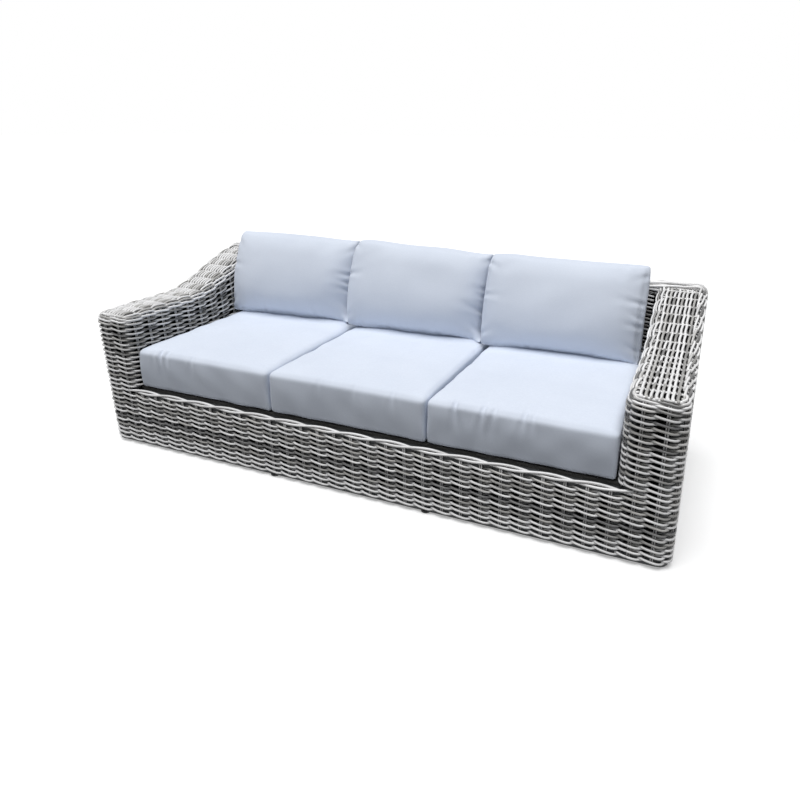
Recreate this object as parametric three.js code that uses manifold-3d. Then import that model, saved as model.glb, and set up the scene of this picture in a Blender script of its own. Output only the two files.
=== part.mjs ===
// Woven garden sofa for three people: a welded tube frame, a woven skin and six loose cushions.
// Millimetres, +Z up, +Y towards the back, origin on the floor under the middle of the sofa.

import * as THREE from 'three';
import { mergeVertices } from 'three/addons/utils/BufferGeometryUtils.js';
import Module from 'manifold-3d';

const wasm = await Module();
wasm.setup();

// Overall sizes
const sofaWidth = 2300;
const sofaDepth = 870;
const armHeight = 570;
const backHeight = 717;
const deckHeight = 257;
const armWidth = 189;
const backThickness = 62;
const levelArmLength = 355;
const armEndDrop = 8;

// Clearances between pieces that meet
const seamGap = 0.3;
const nestGap = 1.2;
const cutOverrun = 20;

// Woven skin
const skinThickness = 12;
const skinClearance = 14;
const cornerRadius = 48;
const armShoulderRadius = 35;
const backRollRadius = 29;
const backEndRadius = 45;
const ledgeDepth = 40;
const ledgeEdgeRadius = 18;

// Courses of the weave: rounded rows with a groove between each two. The sweep of an arm makes room
// for more of them at the rear, and those start part of the way along it
const courseDepth = 6;
const lowerCourses = 12;
const frontCourses = 14;
const rearCourses = 21;
const shoulderCourses = 3;
const bandCourses = 5;
const addedCourseStartShare = 0.35;

// Tube frame
const tubeSize = 25;
const tubeWall = 1.8;
const postDiameter = 25;
const loopDiameter = 22;
const glideHeight = 8;
const bearerSpacing = 321;

// Glides under the base rails
const glideDiameter = 36;
const glideChamfer = 2;
const stemDiameter = 10;
const stemLength = 14;
const glideEndDistance = 40;

// Seat cushions
const seatCushionThickness = 173;
const seatCrown = 12;
const seatEdgeRadius = 26;
const seatDrawIn = 6;
const seatSideFullness = 5;
const seatFrontSetback = 22;

// Back cushions
const backCushionHeight = 386;
const backCushionThickness = 190;
const backDrawIn = 11;
const backCushionSettle = 6;
const backCushionPlay = 8;
const backCushionLean = THREE.MathUtils.degToRad(23);

// Facet counts
const cornerSteps = 4;
const hollowSteps = 2;
const sweepSteps = 8;
const loopSides = 8;
const postSides = 10;
const glideSides = 12;

// Places that follow from the sizes above
const frontY = -sofaDepth / 2;
const rearY = sofaDepth / 2;
const sideX = sofaWidth / 2;
const armInnerX = sideX - armWidth;
const backFaceY = rearY - backThickness;
const sweepStartY = frontY + levelArmLength;
const railBottomZ = glideHeight;
const railTopZ = railBottomZ + tubeSize;
const seatRailTopZ = deckHeight - skinThickness - seamGap;
const seatRailBottomZ = seatRailTopZ - tubeSize;
const cushionBaseZ = deckHeight + seamGap;
const seatEdgeZ = cushionBaseZ + seatCushionThickness;
const cushionPitch = (2 * armInnerX - seamGap) / 3;
const cushionWidth = cushionPitch - seamGap;
const backCushionPitch = cushionPitch - backCushionPlay;
const seatFrontY = frontY + seatFrontSetback;
const seatDepth = backFaceY - seamGap - seatFrontY;
const seatMiddleY = seatFrontY + seatDepth / 2;
const seatHalf = [
  cushionWidth / 2 - seatSideFullness, seatDepth / 2 - seatSideFullness, seatCushionThickness / 2];
const railInset = skinThickness + seamGap + tubeSize / 2;
const loopNestRadius = armShoulderRadius - skinThickness - loopDiameter / 2 - nestGap;
const loopInset = armShoulderRadius - loopNestRadius * Math.SQRT1_2;
const cornerPostOffset = (cornerRadius - loopInset) * Math.SQRT1_2;
const backPostY = (backFaceY + rearY) / 2;
const backRailZ = backHeight - skinThickness - nestGap - loopDiameter / 2;
const rollZ = backHeight - backRollRadius;

// Height of the arm's top over the floor: level at the front, then one smooth sweep up to the back
const sweepRise = backHeight - armEndDrop - armHeight;
const sweepRun = rearY - sweepStartY;

function sweepShare(y) {
  return THREE.MathUtils.smoothstep(y, sweepStartY, rearY);
}

function armTop(y) {
  return armHeight + sweepRise * sweepShare(y);
}

// A smooth step from 0 to 1 has this slope times share times one minus share
const smoothStepSlope = 6;

function armSlope(y) {
  const share = THREE.MathUtils.clamp((y - sweepStartY) / sweepRun, 0, 1);
  return smoothStepSlope * share * (1 - share) * sweepRise / sweepRun;
}

// Evenly spaced values from one end to the other, both included
function spread(from, to, steps) {
  return Array.from({ length: steps + 1 }, (_, i) => from + ((to - from) * i) / steps);
}

// Indexed geometry with shared vertices, no empty triangles and its faces pointing out
function closedGeometry(source) {
  source.deleteAttribute('normal');
  source.deleteAttribute('uv');
  const merged = mergeVertices(source);
  const place = merged.getAttribute('position');
  const corners = Array.from(merged.index.array);
  const kept = [];
  let volume = 0;
  const [a, b, c] = [new THREE.Vector3(), new THREE.Vector3(), new THREE.Vector3()];
  for (let i = 0; i < corners.length; i += 3) {
    const [p, q, r] = corners.slice(i, i + 3);
    if (p === q || q === r || r === p) continue;
    kept.push([p, q, r]);
    a.fromBufferAttribute(place, p);
    b.fromBufferAttribute(place, q);
    c.fromBufferAttribute(place, r);
    volume += a.dot(b.cross(c));
  }
  merged.setIndex(kept.map((face) => (volume < 0 ? face.reverse() : face)).flat());
  return merged;
}

function geometryFrom(points, faces) {
  const geometry = new THREE.BufferGeometry();
  geometry.setAttribute('position', new THREE.Float32BufferAttribute(points.flat(), 3));
  geometry.setIndex(faces.flat());
  return closedGeometry(geometry);
}

// Solids for joining and cutting, and the way back
function solid(geometry) {
  const closed = closedGeometry(geometry);
  return new wasm.Manifold(new wasm.Mesh({
    numProp: 3,
    vertProperties: new Float32Array(closed.getAttribute('position').array),
    triVerts: new Uint32Array(closed.index.array),
  }));
}

function geometryOf(body) {
  const mesh = body.asOriginal().simplify().getMesh();
  const geometry = new THREE.BufferGeometry();
  geometry.setAttribute('position', new THREE.Float32BufferAttribute(mesh.vertProperties, 3));
  geometry.setIndex(Array.from(mesh.triVerts));
  return geometry;
}

function mirrored(geometry) {
  return closedGeometry(geometry.clone().scale(-1, 1, 1));
}

function boxBetween(low, high) {
  const size = high.map((value, i) => value - low[i]);
  const middle = high.map((value, i) => (value + low[i]) / 2);
  return new THREE.BoxGeometry(...size).translate(...middle);
}

// Straight extrusions: a YZ outline along X, and an XZ outline along Y
function prismAlongX(shape, fromX, toX) {
  const body = new THREE.ExtrudeGeometry(shape, {
    depth: toX - fromX, bevelEnabled: false, curveSegments: cornerSteps / 2,
  });
  const turn = new THREE.Matrix4().makeBasis(
    new THREE.Vector3(0, 1, 0), new THREE.Vector3(0, 0, 1), new THREE.Vector3(1, 0, 0));
  return body.applyMatrix4(turn).translate(fromX, 0, 0);
}

function prismAlongY(shape, fromY, toY) {
  const body = new THREE.ExtrudeGeometry(shape, {
    depth: toY - fromY, bevelEnabled: false, curveSegments: cornerSteps / 2,
  });
  return body.rotateX(Math.PI / 2).translate(0, toY, 0);
}

function prismAlongZ(shape, fromZ, toZ) {
  const body = new THREE.ExtrudeGeometry(shape, {
    depth: toZ - fromZ, bevelEnabled: false, curveSegments: cornerSteps / 2,
  });
  return body.translate(0, 0, fromZ);
}

// Rectangle whose four corners each have a radius of their own, from low left, anticlockwise
function roundedRectangle(left, low, right, high, radii) {
  const shape = new THREE.Shape();
  const corners = [
    [left, low, 1, 1, Math.PI], [right, low, -1, 1, 1.5 * Math.PI],
    [right, high, -1, -1, 0], [left, high, 1, -1, 0.5 * Math.PI],
  ];
  corners.forEach(([x, y, inX, inY, start], i) => {
    const radius = radii[i];
    if (radius > 0) {
      shape.absarc(x + inX * radius, y + inY * radius, radius, start, start + Math.PI / 2, false);
    } else if (i === 0) {
      shape.moveTo(x, y);
    } else {
      shape.lineTo(x, y);
    }
  });
  return shape;
}

// Tube sections as lists of points across and up
function squareSection(size) {
  const half = size / 2;
  return [[-half, -half], [half, -half], [half, half], [-half, half]];
}

function roundSection(diameter, sides) {
  return spread(0, 2 * Math.PI, sides).slice(1).map((turn) => (
    [Math.cos(turn) * diameter / 2, Math.sin(turn) * diameter / 2]));
}

// Direction of a path at one of its points. At a curved end it is the curve's own, not the chord's
function directionAt(path, i) {
  const last = path.length - 1;
  const chord = (from, to) => path[to].clone().sub(path[from]).normalize();
  if (last === 1 || (i > 0 && i < last)) return chord(Math.max(i - 1, 0), Math.min(i + 1, last));
  const [near, far] = i === 0 ? [chord(0, 1), chord(0, 2)] : [chord(last - 1, last), chord(last - 2, last)];
  return near.multiplyScalar(2).sub(far).normalize();
}

// A section swept along a list of points. With a second section it is an open tube
function sweep(path, section, bore = null, across = null) {
  const points = [];
  const faces = [];
  const rings = bore ? [section, bore] : [section];
  const sides = section.length;
  path.forEach((point, i) => {
    const ahead = directionAt(path, i);
    const side = across ? across.clone() : ahead.clone().cross(new THREE.Vector3(0, 0, 1)).normalize();
    const up = side.clone().cross(ahead);
    rings.forEach((ring) => ring.forEach(([s, u]) => {
      const corner = point.clone().addScaledVector(side, s).addScaledVector(up, u);
      points.push(corner.toArray());
    }));
  });
  const at = (station, ring, k) => (station * rings.length + ring) * sides + (k % sides);
  for (let i = 0; i + 1 < path.length; i += 1) {
    for (let k = 0; k < sides; k += 1) {
      faces.push([at(i, 0, k), at(i, 0, k + 1), at(i + 1, 0, k + 1)]);
      faces.push([at(i, 0, k), at(i + 1, 0, k + 1), at(i + 1, 0, k)]);
      if (bore) {
        faces.push([at(i, 1, k), at(i + 1, 1, k + 1), at(i, 1, k + 1)]);
        faces.push([at(i, 1, k), at(i + 1, 1, k), at(i + 1, 1, k + 1)]);
      }
    }
  }
  const last = path.length - 1;
  if (bore) {
    for (let k = 0; k < sides; k += 1) {
      faces.push([at(0, 0, k), at(0, 1, k), at(0, 0, k + 1)]);
      faces.push([at(0, 1, k), at(0, 1, k + 1), at(0, 0, k + 1)]);
      faces.push([at(last, 0, k), at(last, 0, k + 1), at(last, 1, k)]);
      faces.push([at(last, 1, k), at(last, 0, k + 1), at(last, 1, k + 1)]);
    }
  } else {
    for (let k = 1; k + 1 < sides; k += 1) {
      faces.push([at(0, 0, 0), at(0, 0, k + 1), at(0, 0, k)]);
      faces.push([at(last, 0, 0), at(last, 0, k), at(last, 0, k + 1)]);
    }
  }
  return geometryFrom(points, faces);
}

const xAxis = new THREE.Vector3(1, 0, 0);
const yAxis = new THREE.Vector3(0, 1, 0);

function squareTube(from, to) {
  const path = [new THREE.Vector3(...from), new THREE.Vector3(...to)];
  const upright = from[0] === to[0] && from[1] === to[1];
  return sweep(path, squareSection(tubeSize), squareSection(tubeSize - 2 * tubeWall),
    upright ? xAxis : null);
}

// A tube with its end or head cut to fit round the bars that it meets
function coped(body, bars) {
  return geometryOf(bars.reduce((left, bar) => left.subtract(solid(bar.clone())), solid(body)));
}

function post(x, y, headZ) {
  const path = [new THREE.Vector3(x, y, railTopZ + seamGap), new THREE.Vector3(x, y, headZ)];
  const bore = roundSection(postDiameter - 2 * tubeWall, postSides);
  return sweep(path, roundSection(postDiameter, postSides), bore, xAxis);
}

function widePost(x, y, headZ) {
  const path = [new THREE.Vector3(x, y, railTopZ), new THREE.Vector3(x, y, headZ)];
  return sweep(path, roundSection(postDiameter + 2 * seamGap, postSides), null, xAxis);
}

// Closed body through rings of points. A ring runs out along one side and back along the other,
// so that its first point faces its last one, and so on to its middle
function loft(rings) {
  const count = rings[0].length;
  const faces = [];
  for (let ring = 0; ring + 1 < rings.length; ring += 1) {
    for (let i = 0; i < count; i += 1) {
      const [a, b] = [ring * count + i, ring * count + ((i + 1) % count)];
      faces.push([a, b, b + count], [a, b + count, a + count]);
    }
  }
  const top = (rings.length - 1) * count;
  for (let i = 0; i + 1 < count / 2; i += 1) {
    const far = count - 1 - i;
    faces.push([i, far, far - 1], [i, far - 1, i + 1]);
    faces.push([top + i, top + far - 1, top + far], [top + i, top + i + 1, top + far - 1]);
  }
  return geometryFrom(rings.flat(), faces);
}

// Arm: outline seen from above for the right-hand arm, set in from the skin's outer face by an inset
// for each Y. It runs forward on the inner side, round the front end and back on the outer side.
function armOutline(insetAt, endY) {
  const frontInset = insetAt(frontY);
  const cornerInset = Math.max(cornerRadius, frontInset);
  const radius = cornerInset - frontInset;
  const arcY = frontY + cornerInset;
  const sideYs = spread(endY, Math.min(sweepStartY, endY), sweepSteps);
  const arc = (centreX, start) => spread(start, start + Math.PI / 2, cornerSteps).map((turn) => (
    [centreX + radius * Math.cos(turn), arcY + radius * Math.sin(turn)]));
  return [
    ...sideYs.map((y) => [armInnerX + insetAt(y), y]),
    ...arc(armInnerX + cornerInset, Math.PI),
    ...arc(sideX - cornerInset, 1.5 * Math.PI),
    ...sideYs.reverse().map((y) => [sideX - insetAt(y), y]),
  ];
}

function armRing(insetAt, heightAt, endY) {
  return armOutline(insetAt, endY).map(([x, y]) => [x, y, heightAt(y)]);
}

// Body of the arm's hollow, moved in by an offset: straight sides, a rounded shoulder and the swept top
function plainArm(offset, endY, bottomZ) {
  const shoulder = armShoulderRadius - offset;
  return loft([
    armRing(() => offset, () => bottomZ, endY),
    ...spread(0, Math.PI / 2, hollowSteps).map((turn) => armRing(
      () => offset + shoulder * (1 - Math.cos(turn)),
      (y) => armTop(y) - offset - shoulder * (1 - Math.sin(turn)), endY)),
  ]);
}

// Rise of each course above the deck, as a part of a full one. Spread evenly among the courses that
// run the whole arm are those that the sweep adds
function courseRises(y) {
  const added = THREE.MathUtils.smoothstep(sweepShare(y), addedCourseStartShare, 1);
  const whole = spread(0, frontCourses - 1, frontCourses - 1).map((i) => (
    Math.round((i * rearCourses) / frontCourses)));
  return spread(0, rearCourses - 1, rearCourses - 1).map((i) => (whole.includes(i) ? 1 : added));
}

// Share of the height from the deck to the shoulder at which a groove lies, or the middle of a course
function courseShare(place, y) {
  const rises = courseRises(y);
  const sum = (list) => list.reduce((total, rise) => total + rise, 0);
  const below = Math.floor(place);
  return (sum(rises.slice(0, below)) + (place - below) * (rises[below] ?? 0)) / sum(rises);
}

// Steps up a wall: at a whole number a groove lies, and halfway between two the ridge of a course
function courseSteps(courses) {
  return spread(0, courses, 2 * courses);
}

function grooveDepth(place) {
  return Number.isInteger(place) ? courseDepth : 0;
}

function lowerCourseHeight(place) {
  return skinClearance + (place * (deckHeight - skinClearance)) / lowerCourses;
}

function upperCourseHeight(place, y) {
  return deckHeight + courseShare(place, y) * (armTop(y) - armShoulderRadius - deckHeight);
}

// Woven body of the arm: courses up its wall, round its shoulder and along its top
function wovenArm(endY) {
  const lower = courseSteps(lowerCourses).map((place) => armRing(
    () => grooveDepth(place), () => lowerCourseHeight(place), endY));
  const upper = courseSteps(rearCourses).slice(1, -1).map((place) => armRing(
    (y) => courseDepth - (courseDepth - grooveDepth(place)) * courseRises(y)[Math.floor(place)],
    (y) => upperCourseHeight(place, y), endY));
  const shoulder = courseSteps(shoulderCourses).map((place) => {
    const turn = (place / shoulderCourses) * Math.PI / 2;
    const radius = armShoulderRadius - grooveDepth(place);
    return armRing(() => armShoulderRadius - radius * Math.cos(turn),
      (y) => armTop(y) - armShoulderRadius + radius * Math.sin(turn), endY);
  });
  const topHalf = armWidth / 2 - armShoulderRadius;
  const top = courseSteps(shoulderCourses).slice(1).map((place) => armRing(
    () => armShoulderRadius + (topHalf * place) / shoulderCourses,
    (y) => armTop(y) - grooveDepth(place), endY));
  return loft([...lower, ...upper, ...shoulder, ...top]);
}

// Woven skin of the right-hand arm. Its inner side and the inner half of its front stop on the deck
function armSkin() {
  const endY = backFaceY - seamGap;
  const pastEndY = endY + cutOverrun;
  const hollow = solid(plainArm(skinThickness, pastEndY, skinClearance - cutOverrun));
  const below = solid(boxBetween(
    [armInnerX - cutOverrun, frontY - cutOverrun, skinClearance - cutOverrun],
    [armInnerX + cornerRadius, pastEndY, deckHeight + seamGap]));
  const behind = solid(boxBetween(
    [armInnerX - cutOverrun, endY, skinClearance - cutOverrun],
    [sideX + cutOverrun, pastEndY + cutOverrun, backHeight + cutOverrun]));
  return geometryOf(solid(wovenArm(pastEndY)).subtract(hollow).subtract(below).subtract(behind));
}

// Bent rail round the top of the arm, just inside the shoulders of the skin
function armLoopPath(side) {
  const innerEndY = backPostY - postDiameter / 4;
  const outerEndY = rearY - cornerRadius + cornerPostOffset - postDiameter / 4;
  const outline = armOutline(() => loopInset, innerEndY);
  return outline.map(([x, y], i) => {
    const placeY = i > outline.length / 2 ? Math.min(y, outerEndY) : y;
    const drop = loopInset * Math.hypot(1, armSlope(placeY));
    return new THREE.Vector3(side * x, placeY, armTop(placeY) - drop);
  });
}

// Base rail bent round the two corners of one end
function endRailPath(side) {
  const radius = cornerRadius - railInset;
  const centreX = sideX - cornerRadius;
  const corner = (centreY, start) => spread(start, start + Math.PI / 2, cornerSteps).map((turn) => (
    new THREE.Vector3(side * (centreX + radius * Math.cos(turn)), centreY + radius * Math.sin(turn),
      railBottomZ + tubeSize / 2)));
  return [
    ...corner(frontY + cornerRadius, 1.5 * Math.PI),
    ...corner(rearY - cornerRadius, 0),
  ];
}

// Rail with round holes through its lower wall for the stems of the glides
function drilled(rail, places) {
  let body = solid(rail);
  places.forEach(([x, y]) => {
    const radius = stemDiameter / 2 + seamGap;
    const drill = new THREE.CylinderGeometry(radius, radius, tubeSize, glideSides);
    body = body.subtract(solid(drill.rotateX(Math.PI / 2).translate(x, y, railBottomZ)));
  });
  return geometryOf(body);
}

function glide(x, y) {
  const radius = glideDiameter / 2;
  const discTop = glideHeight - seamGap;
  const profile = [
    [0, 0], [radius - glideChamfer, 0], [radius, glideChamfer], [radius, discTop],
    [stemDiameter / 2, discTop], [stemDiameter / 2, discTop + stemLength], [0, discTop + stemLength],
  ].map(([r, z]) => new THREE.Vector2(r, z));
  const body = closedGeometry(new THREE.LatheGeometry(profile, glideSides));
  return body.rotateX(Math.PI / 2).translate(x, y, 0);
}

// Back, moved in by an offset, of three prisms: a YZ section with a rolled top, the rounded ends seen
// from the front, and the rounded corners seen from above
function plainBack(offset, bottomZ) {
  const roll = backRollRadius - offset;
  const section = roundedRectangle(backFaceY + offset, bottomZ, rearY - offset, backHeight - offset,
    [0, 0, roll, roll]);
  const plan = roundedRectangle(offset - sideX, 0, sideX - offset, rearY - offset,
    [0, 0, cornerRadius - offset, cornerRadius - offset]);
  return solid(prismAlongX(section, offset - sideX, sideX - offset))
    .intersect(backEnds(offset, bottomZ))
    .intersect(solid(prismAlongZ(plan, bottomZ, backHeight)));
}

function backEnds(offset, bottomZ) {
  const front = roundedRectangle(offset - sideX, bottomZ, sideX - offset, backHeight - offset,
    [0, 0, backEndRadius - offset, backEndRadius - offset]);
  return solid(prismAlongY(front, backFaceY - cutOverrun, rearY + cutOverrun));
}

// Woven section of the back: band courses over the roll, and courses down the inner face
function wovenBackSection() {
  const shape = new THREE.Shape();
  shape.moveTo(backFaceY, skinClearance);
  shape.lineTo(rearY + cutOverrun, skinClearance);
  shape.lineTo(rearY + cutOverrun, rollZ);
  courseSteps(bandCourses).forEach((place) => {
    const turn = (place / bandCourses) * Math.PI;
    shape.lineTo(backPostY + (backThickness / 2 - grooveDepth(place)) * Math.cos(turn),
      rollZ + (backRollRadius - grooveDepth(place)) * Math.sin(turn));
  });
  shape.lineTo(backFaceY, (rollZ + upperCourseHeight(rearCourses, rearY)) / 2);
  courseSteps(rearCourses).reverse().forEach((place) => {
    shape.lineTo(backFaceY + grooveDepth(place), upperCourseHeight(place, rearY));
  });
  return solid(prismAlongX(shape, -sideX, sideX));
}

// Woven wall of the back, seen from above: courses round its corners and along its rear
function wovenBackWall() {
  const ring = (inset, z) => {
    const radius = cornerRadius - inset;
    const arc = (centreX, start) => spread(start, start - Math.PI / 2, cornerSteps).map((turn) => (
      [centreX + radius * Math.cos(turn), rearY - cornerRadius + radius * Math.sin(turn), z]));
    return [
      [inset - sideX, backFaceY - cutOverrun, z],
      ...arc(cornerRadius - sideX, Math.PI),
      ...arc(sideX - cornerRadius, Math.PI / 2),
      [sideX - inset, backFaceY - cutOverrun, z],
    ];
  };
  return solid(loft([
    ...courseSteps(lowerCourses).map((place) => ring(grooveDepth(place), lowerCourseHeight(place))),
    ...courseSteps(rearCourses).slice(1).map((place) => (
      ring(grooveDepth(place), upperCourseHeight(place, rearY)))),
    ring(0, (rollZ + upperCourseHeight(rearCourses, rearY)) / 2),
    ring(courseDepth, rollZ),
    ring(0, rollZ + courseDepth),
    ring(0, backHeight + cutOverrun),
  ]));
}

// Woven skin of the back. Its inner face stops on the deck and is open where the arms meet it
function backSkin() {
  let body = wovenBackSection()
    .intersect(backEnds(0, skinClearance - cutOverrun))
    .intersect(wovenBackWall())
    .subtract(plainBack(skinThickness, skinClearance - cutOverrun));
  const frontOfCut = backFaceY - cutOverrun;
  const rearOfCut = backFaceY + skinThickness + nestGap;
  const cut = (fromX, toX, topZ) => {
    const low = [fromX, frontOfCut, skinClearance - cutOverrun];
    body = body.subtract(solid(boxBetween(low, [toX, rearOfCut, topZ])));
  };
  const openX = sideX - skinThickness;
  cut(-openX, openX, deckHeight + seamGap);
  [-1, 1].forEach((side) => {
    const [a, b] = [side * (armInnerX + skinThickness), side * openX];
    cut(Math.min(a, b), Math.max(a, b), armTop(backFaceY) - seamGap);
  });
  return geometryOf(body);
}

// Front skin: one wall with a rounded upper edge that turns back as a narrow ledge
function apronSkin() {
  const shape = new THREE.Shape();
  const innerRadius = ledgeEdgeRadius - skinThickness;
  const centre = [frontY + ledgeEdgeRadius, deckHeight - ledgeEdgeRadius];
  const ledgeEndY = frontY + ledgeDepth;
  shape.moveTo(frontY + courseDepth, skinClearance);
  shape.lineTo(frontY + skinThickness, skinClearance);
  shape.absarc(...centre, innerRadius, Math.PI, Math.PI / 2, true);
  shape.lineTo(ledgeEndY, deckHeight - skinThickness);
  shape.lineTo(ledgeEndY, deckHeight);
  shape.absarc(...centre, ledgeEdgeRadius, Math.PI / 2, Math.PI, false);
  courseSteps(lowerCourses - 1).reverse().forEach((place) => {
    shape.lineTo(frontY + grooveDepth(place), lowerCourseHeight(place));
  });
  const endX = armInnerX + cornerRadius - seamGap;
  let body = solid(prismAlongX(shape, -endX, endX));
  [-1, 1].forEach((side) => {
    const [a, b] = [side * (armInnerX + skinThickness), side * (endX + cutOverrun)];
    body = body.subtract(solid(boxBetween(
      [Math.min(a, b), frontY + skinThickness, skinClearance - cutOverrun],
      [Math.max(a, b), ledgeEndY + cutOverrun, deckHeight + cutOverrun])));
  });
  return geometryOf(body);
}

// Grid lines across a cushion: close together over the rounded edges, even between them
function cushionLines(half, radius, count) {
  const edgeShares = [0, 0.3, 1];
  const edge = edgeShares.map((share) => -half + share * radius);
  const middle = spread(-half + radius, half - radius, count - 2 * (edgeShares.length - 1));
  return [...edge, ...middle.slice(1, -1), ...edge.map((value) => -value).reverse()];
}

// Height of a seat cushion's crown over its edges, at shares of its half width and half depth
function crownHeight(a, b) {
  return seatCrown * Math.max(1 - a * a, 0) * Math.max(1 - b * b, 0);
}

// Seat cushion: boxed, with rounded edges, a crown on top, full sides and edges drawn in between corners
function seatCushion(middleX) {
  const half = seatHalf;
  const counts = [10, 10, 6];
  const lines = half.map((value, i) => cushionLines(value, seatEdgeRadius, counts[i]));
  const box = new THREE.BoxGeometry(...half.map((value) => 2 * value), ...counts);
  const place = box.getAttribute('position');
  for (let i = 0; i < place.count; i += 1) {
    const start = [place.getX(i), place.getY(i), place.getZ(i)];
    const point = new THREE.Vector3(...start.map((value, axis) => (
      lines[axis][Math.round((value / half[axis] + 1) * counts[axis] / 2)])));
    const core = new THREE.Vector3(...point.toArray().map((value, axis) => (
      THREE.MathUtils.clamp(value, seatEdgeRadius - half[axis], half[axis] - seatEdgeRadius))));
    point.sub(core).setLength(seatEdgeRadius).add(core);
    const [a, b, c] = point.toArray().map((value, axis) => value / half[axis]);
    const [roundA, roundB, roundC] = [1 - a * a, 1 - b * b, 1 - c * c];
    point.x += a * (seatSideFullness * roundC - seatDrawIn * roundB);
    point.y += b * (seatSideFullness * roundC - seatDrawIn * roundA);
    point.z += Math.max(c, 0) * crownHeight(a, b);
    place.setXYZ(i, point.x, point.y, point.z);
  }
  return closedGeometry(box.translate(middleX, seatMiddleY, cushionBaseZ + half[2]));
}

// Height of the crowned seat cushions at one place
function seatTop(x, y) {
  const middleX = Math.round(x / cushionPitch) * cushionPitch;
  return seatEdgeZ + crownHeight((x - middleX) / seatHalf[0], (y - seatMiddleY) / seatHalf[1]);
}

// Back cushion: two full faces sewn along one edge, drawn in between its corners.
// It leans until it meets the back, and rests on the crowned tops of the seat cushions.
function backCushion(middleX) {
  const [columns, rows] = [16, 12];
  const [halfWidth, halfHeight, halfThickness] = [
    (backCushionPitch - seamGap) / 2, backCushionHeight / 2, backCushionThickness / 2];
  const middleZ = seatEdgeZ - backCushionSettle + halfHeight * Math.cos(backCushionLean);
  const points = [];
  [-1, 1].forEach((face) => spread(-1, 1, rows).forEach((v) => spread(-1, 1, columns).forEach((u) => {
    const [su, sv] = [Math.sin(u * Math.PI / 2), Math.sin(v * Math.PI / 2)];
    const across = su * (halfWidth - backDrawIn * (1 - sv * sv));
    const along = sv * (halfHeight - backDrawIn * (1 - su * su));
    const puff = halfThickness * Math.sqrt((1 - su ** 4) * (1 - sv ** 4));
    const y = along * Math.sin(backCushionLean) + face * puff * Math.cos(backCushionLean);
    const z = middleZ + along * Math.cos(backCushionLean) - face * puff * Math.sin(backCushionLean);
    points.push([middleX + across, y, z]);
  })));
  const shiftY = backFaceY - seamGap - Math.max(...points.map(([, y]) => y));
  points.forEach((point) => {
    point[1] += shiftY;
    point[2] = Math.max(point[2], seatTop(point[0], point[1]) + seamGap);
  });
  const faces = [];
  const faceSize = (columns + 1) * (rows + 1);
  for (let row = 0; row < rows; row += 1) {
    for (let column = 0; column < columns; column += 1) {
      const a = row * (columns + 1) + column;
      const [b, c, d] = [a + 1, a + columns + 2, a + columns + 1];
      faces.push([a, b, c], [a, c, d]);
      faces.push([a + faceSize, c + faceSize, b + faceSize], [a + faceSize, d + faceSize, c + faceSize]);
    }
  }
  return geometryFrom(points, faces);
}

// Materials
const finish = (color, roughness, metalness) => (
  () => new THREE.MeshStandardMaterial({ color, roughness, metalness }));
const weave = finish(0x9b968f, 0.65, 0);
const tube = finish(0x33363a, 0.5, 0.7);
const fabric = finish(0xaab3c0, 0.95, 0);
const plastic = finish(0x1d1e20, 0.6, 0);

const sofa = new THREE.Group();

function add(name, geometry, material) {
  geometry.computeVertexNormals();
  const mesh = new THREE.Mesh(geometry, material());
  mesh.name = name;
  sofa.add(mesh);
}

const sides = [{ word: 'left', side: -1 }, { word: 'right', side: 1 }];
const railZ = railBottomZ + tubeSize / 2;
const seatRailZ = seatRailBottomZ + tubeSize / 2;
const frontRailY = frontY + railInset;
const seatRailFrontY = frontY + ledgeEdgeRadius + seamGap + tubeSize / 2;
const rearRailY = rearY - railInset;
const frontPostX = armInnerX + cornerRadius - cornerPostOffset;
const frontPostY = frontY + cornerRadius - cornerPostOffset;
const backPostX = armInnerX + loopInset;
const postRadius = postDiameter / 2;
const backCornerX = sideX - cornerRadius + cornerPostOffset;
const backCornerY = rearY - cornerRadius + cornerPostOffset;

// Base rails with their glides
const cornerGlideY = rearY - cornerRadius - glideEndDistance;
const midGlidePlaces = (y) => [[-bearerSpacing, y], [bearerSpacing, y]];
const endGlidePlaces = (side) => [-1, 1].map((end) => [side * (sideX - railInset), end * cornerGlideY]);
const railHalfLength = sideX - cornerRadius - seamGap;
[['front', frontRailY], ['rear', rearRailY]].forEach(([word, y]) => {
  const rail = squareTube([-railHalfLength, y, railZ], [railHalfLength, y, railZ]);
  add(`base_rail_${word}`, drilled(rail, midGlidePlaces(y)), tube);
  midGlidePlaces(y).forEach(([x], i) => add(`glide_${word}_${sides[i].word}_middle`, glide(x, y), plastic));
});
sides.forEach(({ word, side }) => {
  const bent = sweep(endRailPath(side), squareSection(tubeSize), squareSection(tubeSize - 2 * tubeWall));
  add(`base_rail_${word}`, drilled(bent, endGlidePlaces(side)), tube);
  endGlidePlaces(side).forEach(([x, y], i) => {
    add(`glide_${['front', 'rear'][i]}_${word}_corner`, glide(x, y), plastic);
  });
  const x = side * bearerSpacing;
  const inFromRail = tubeSize / 2 + seamGap;
  add(`base_cross_rail_${word}`,
    squareTube([x, frontRailY + inFromRail, railZ], [x, rearRailY - inFromRail, railZ]), tube);
});

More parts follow.
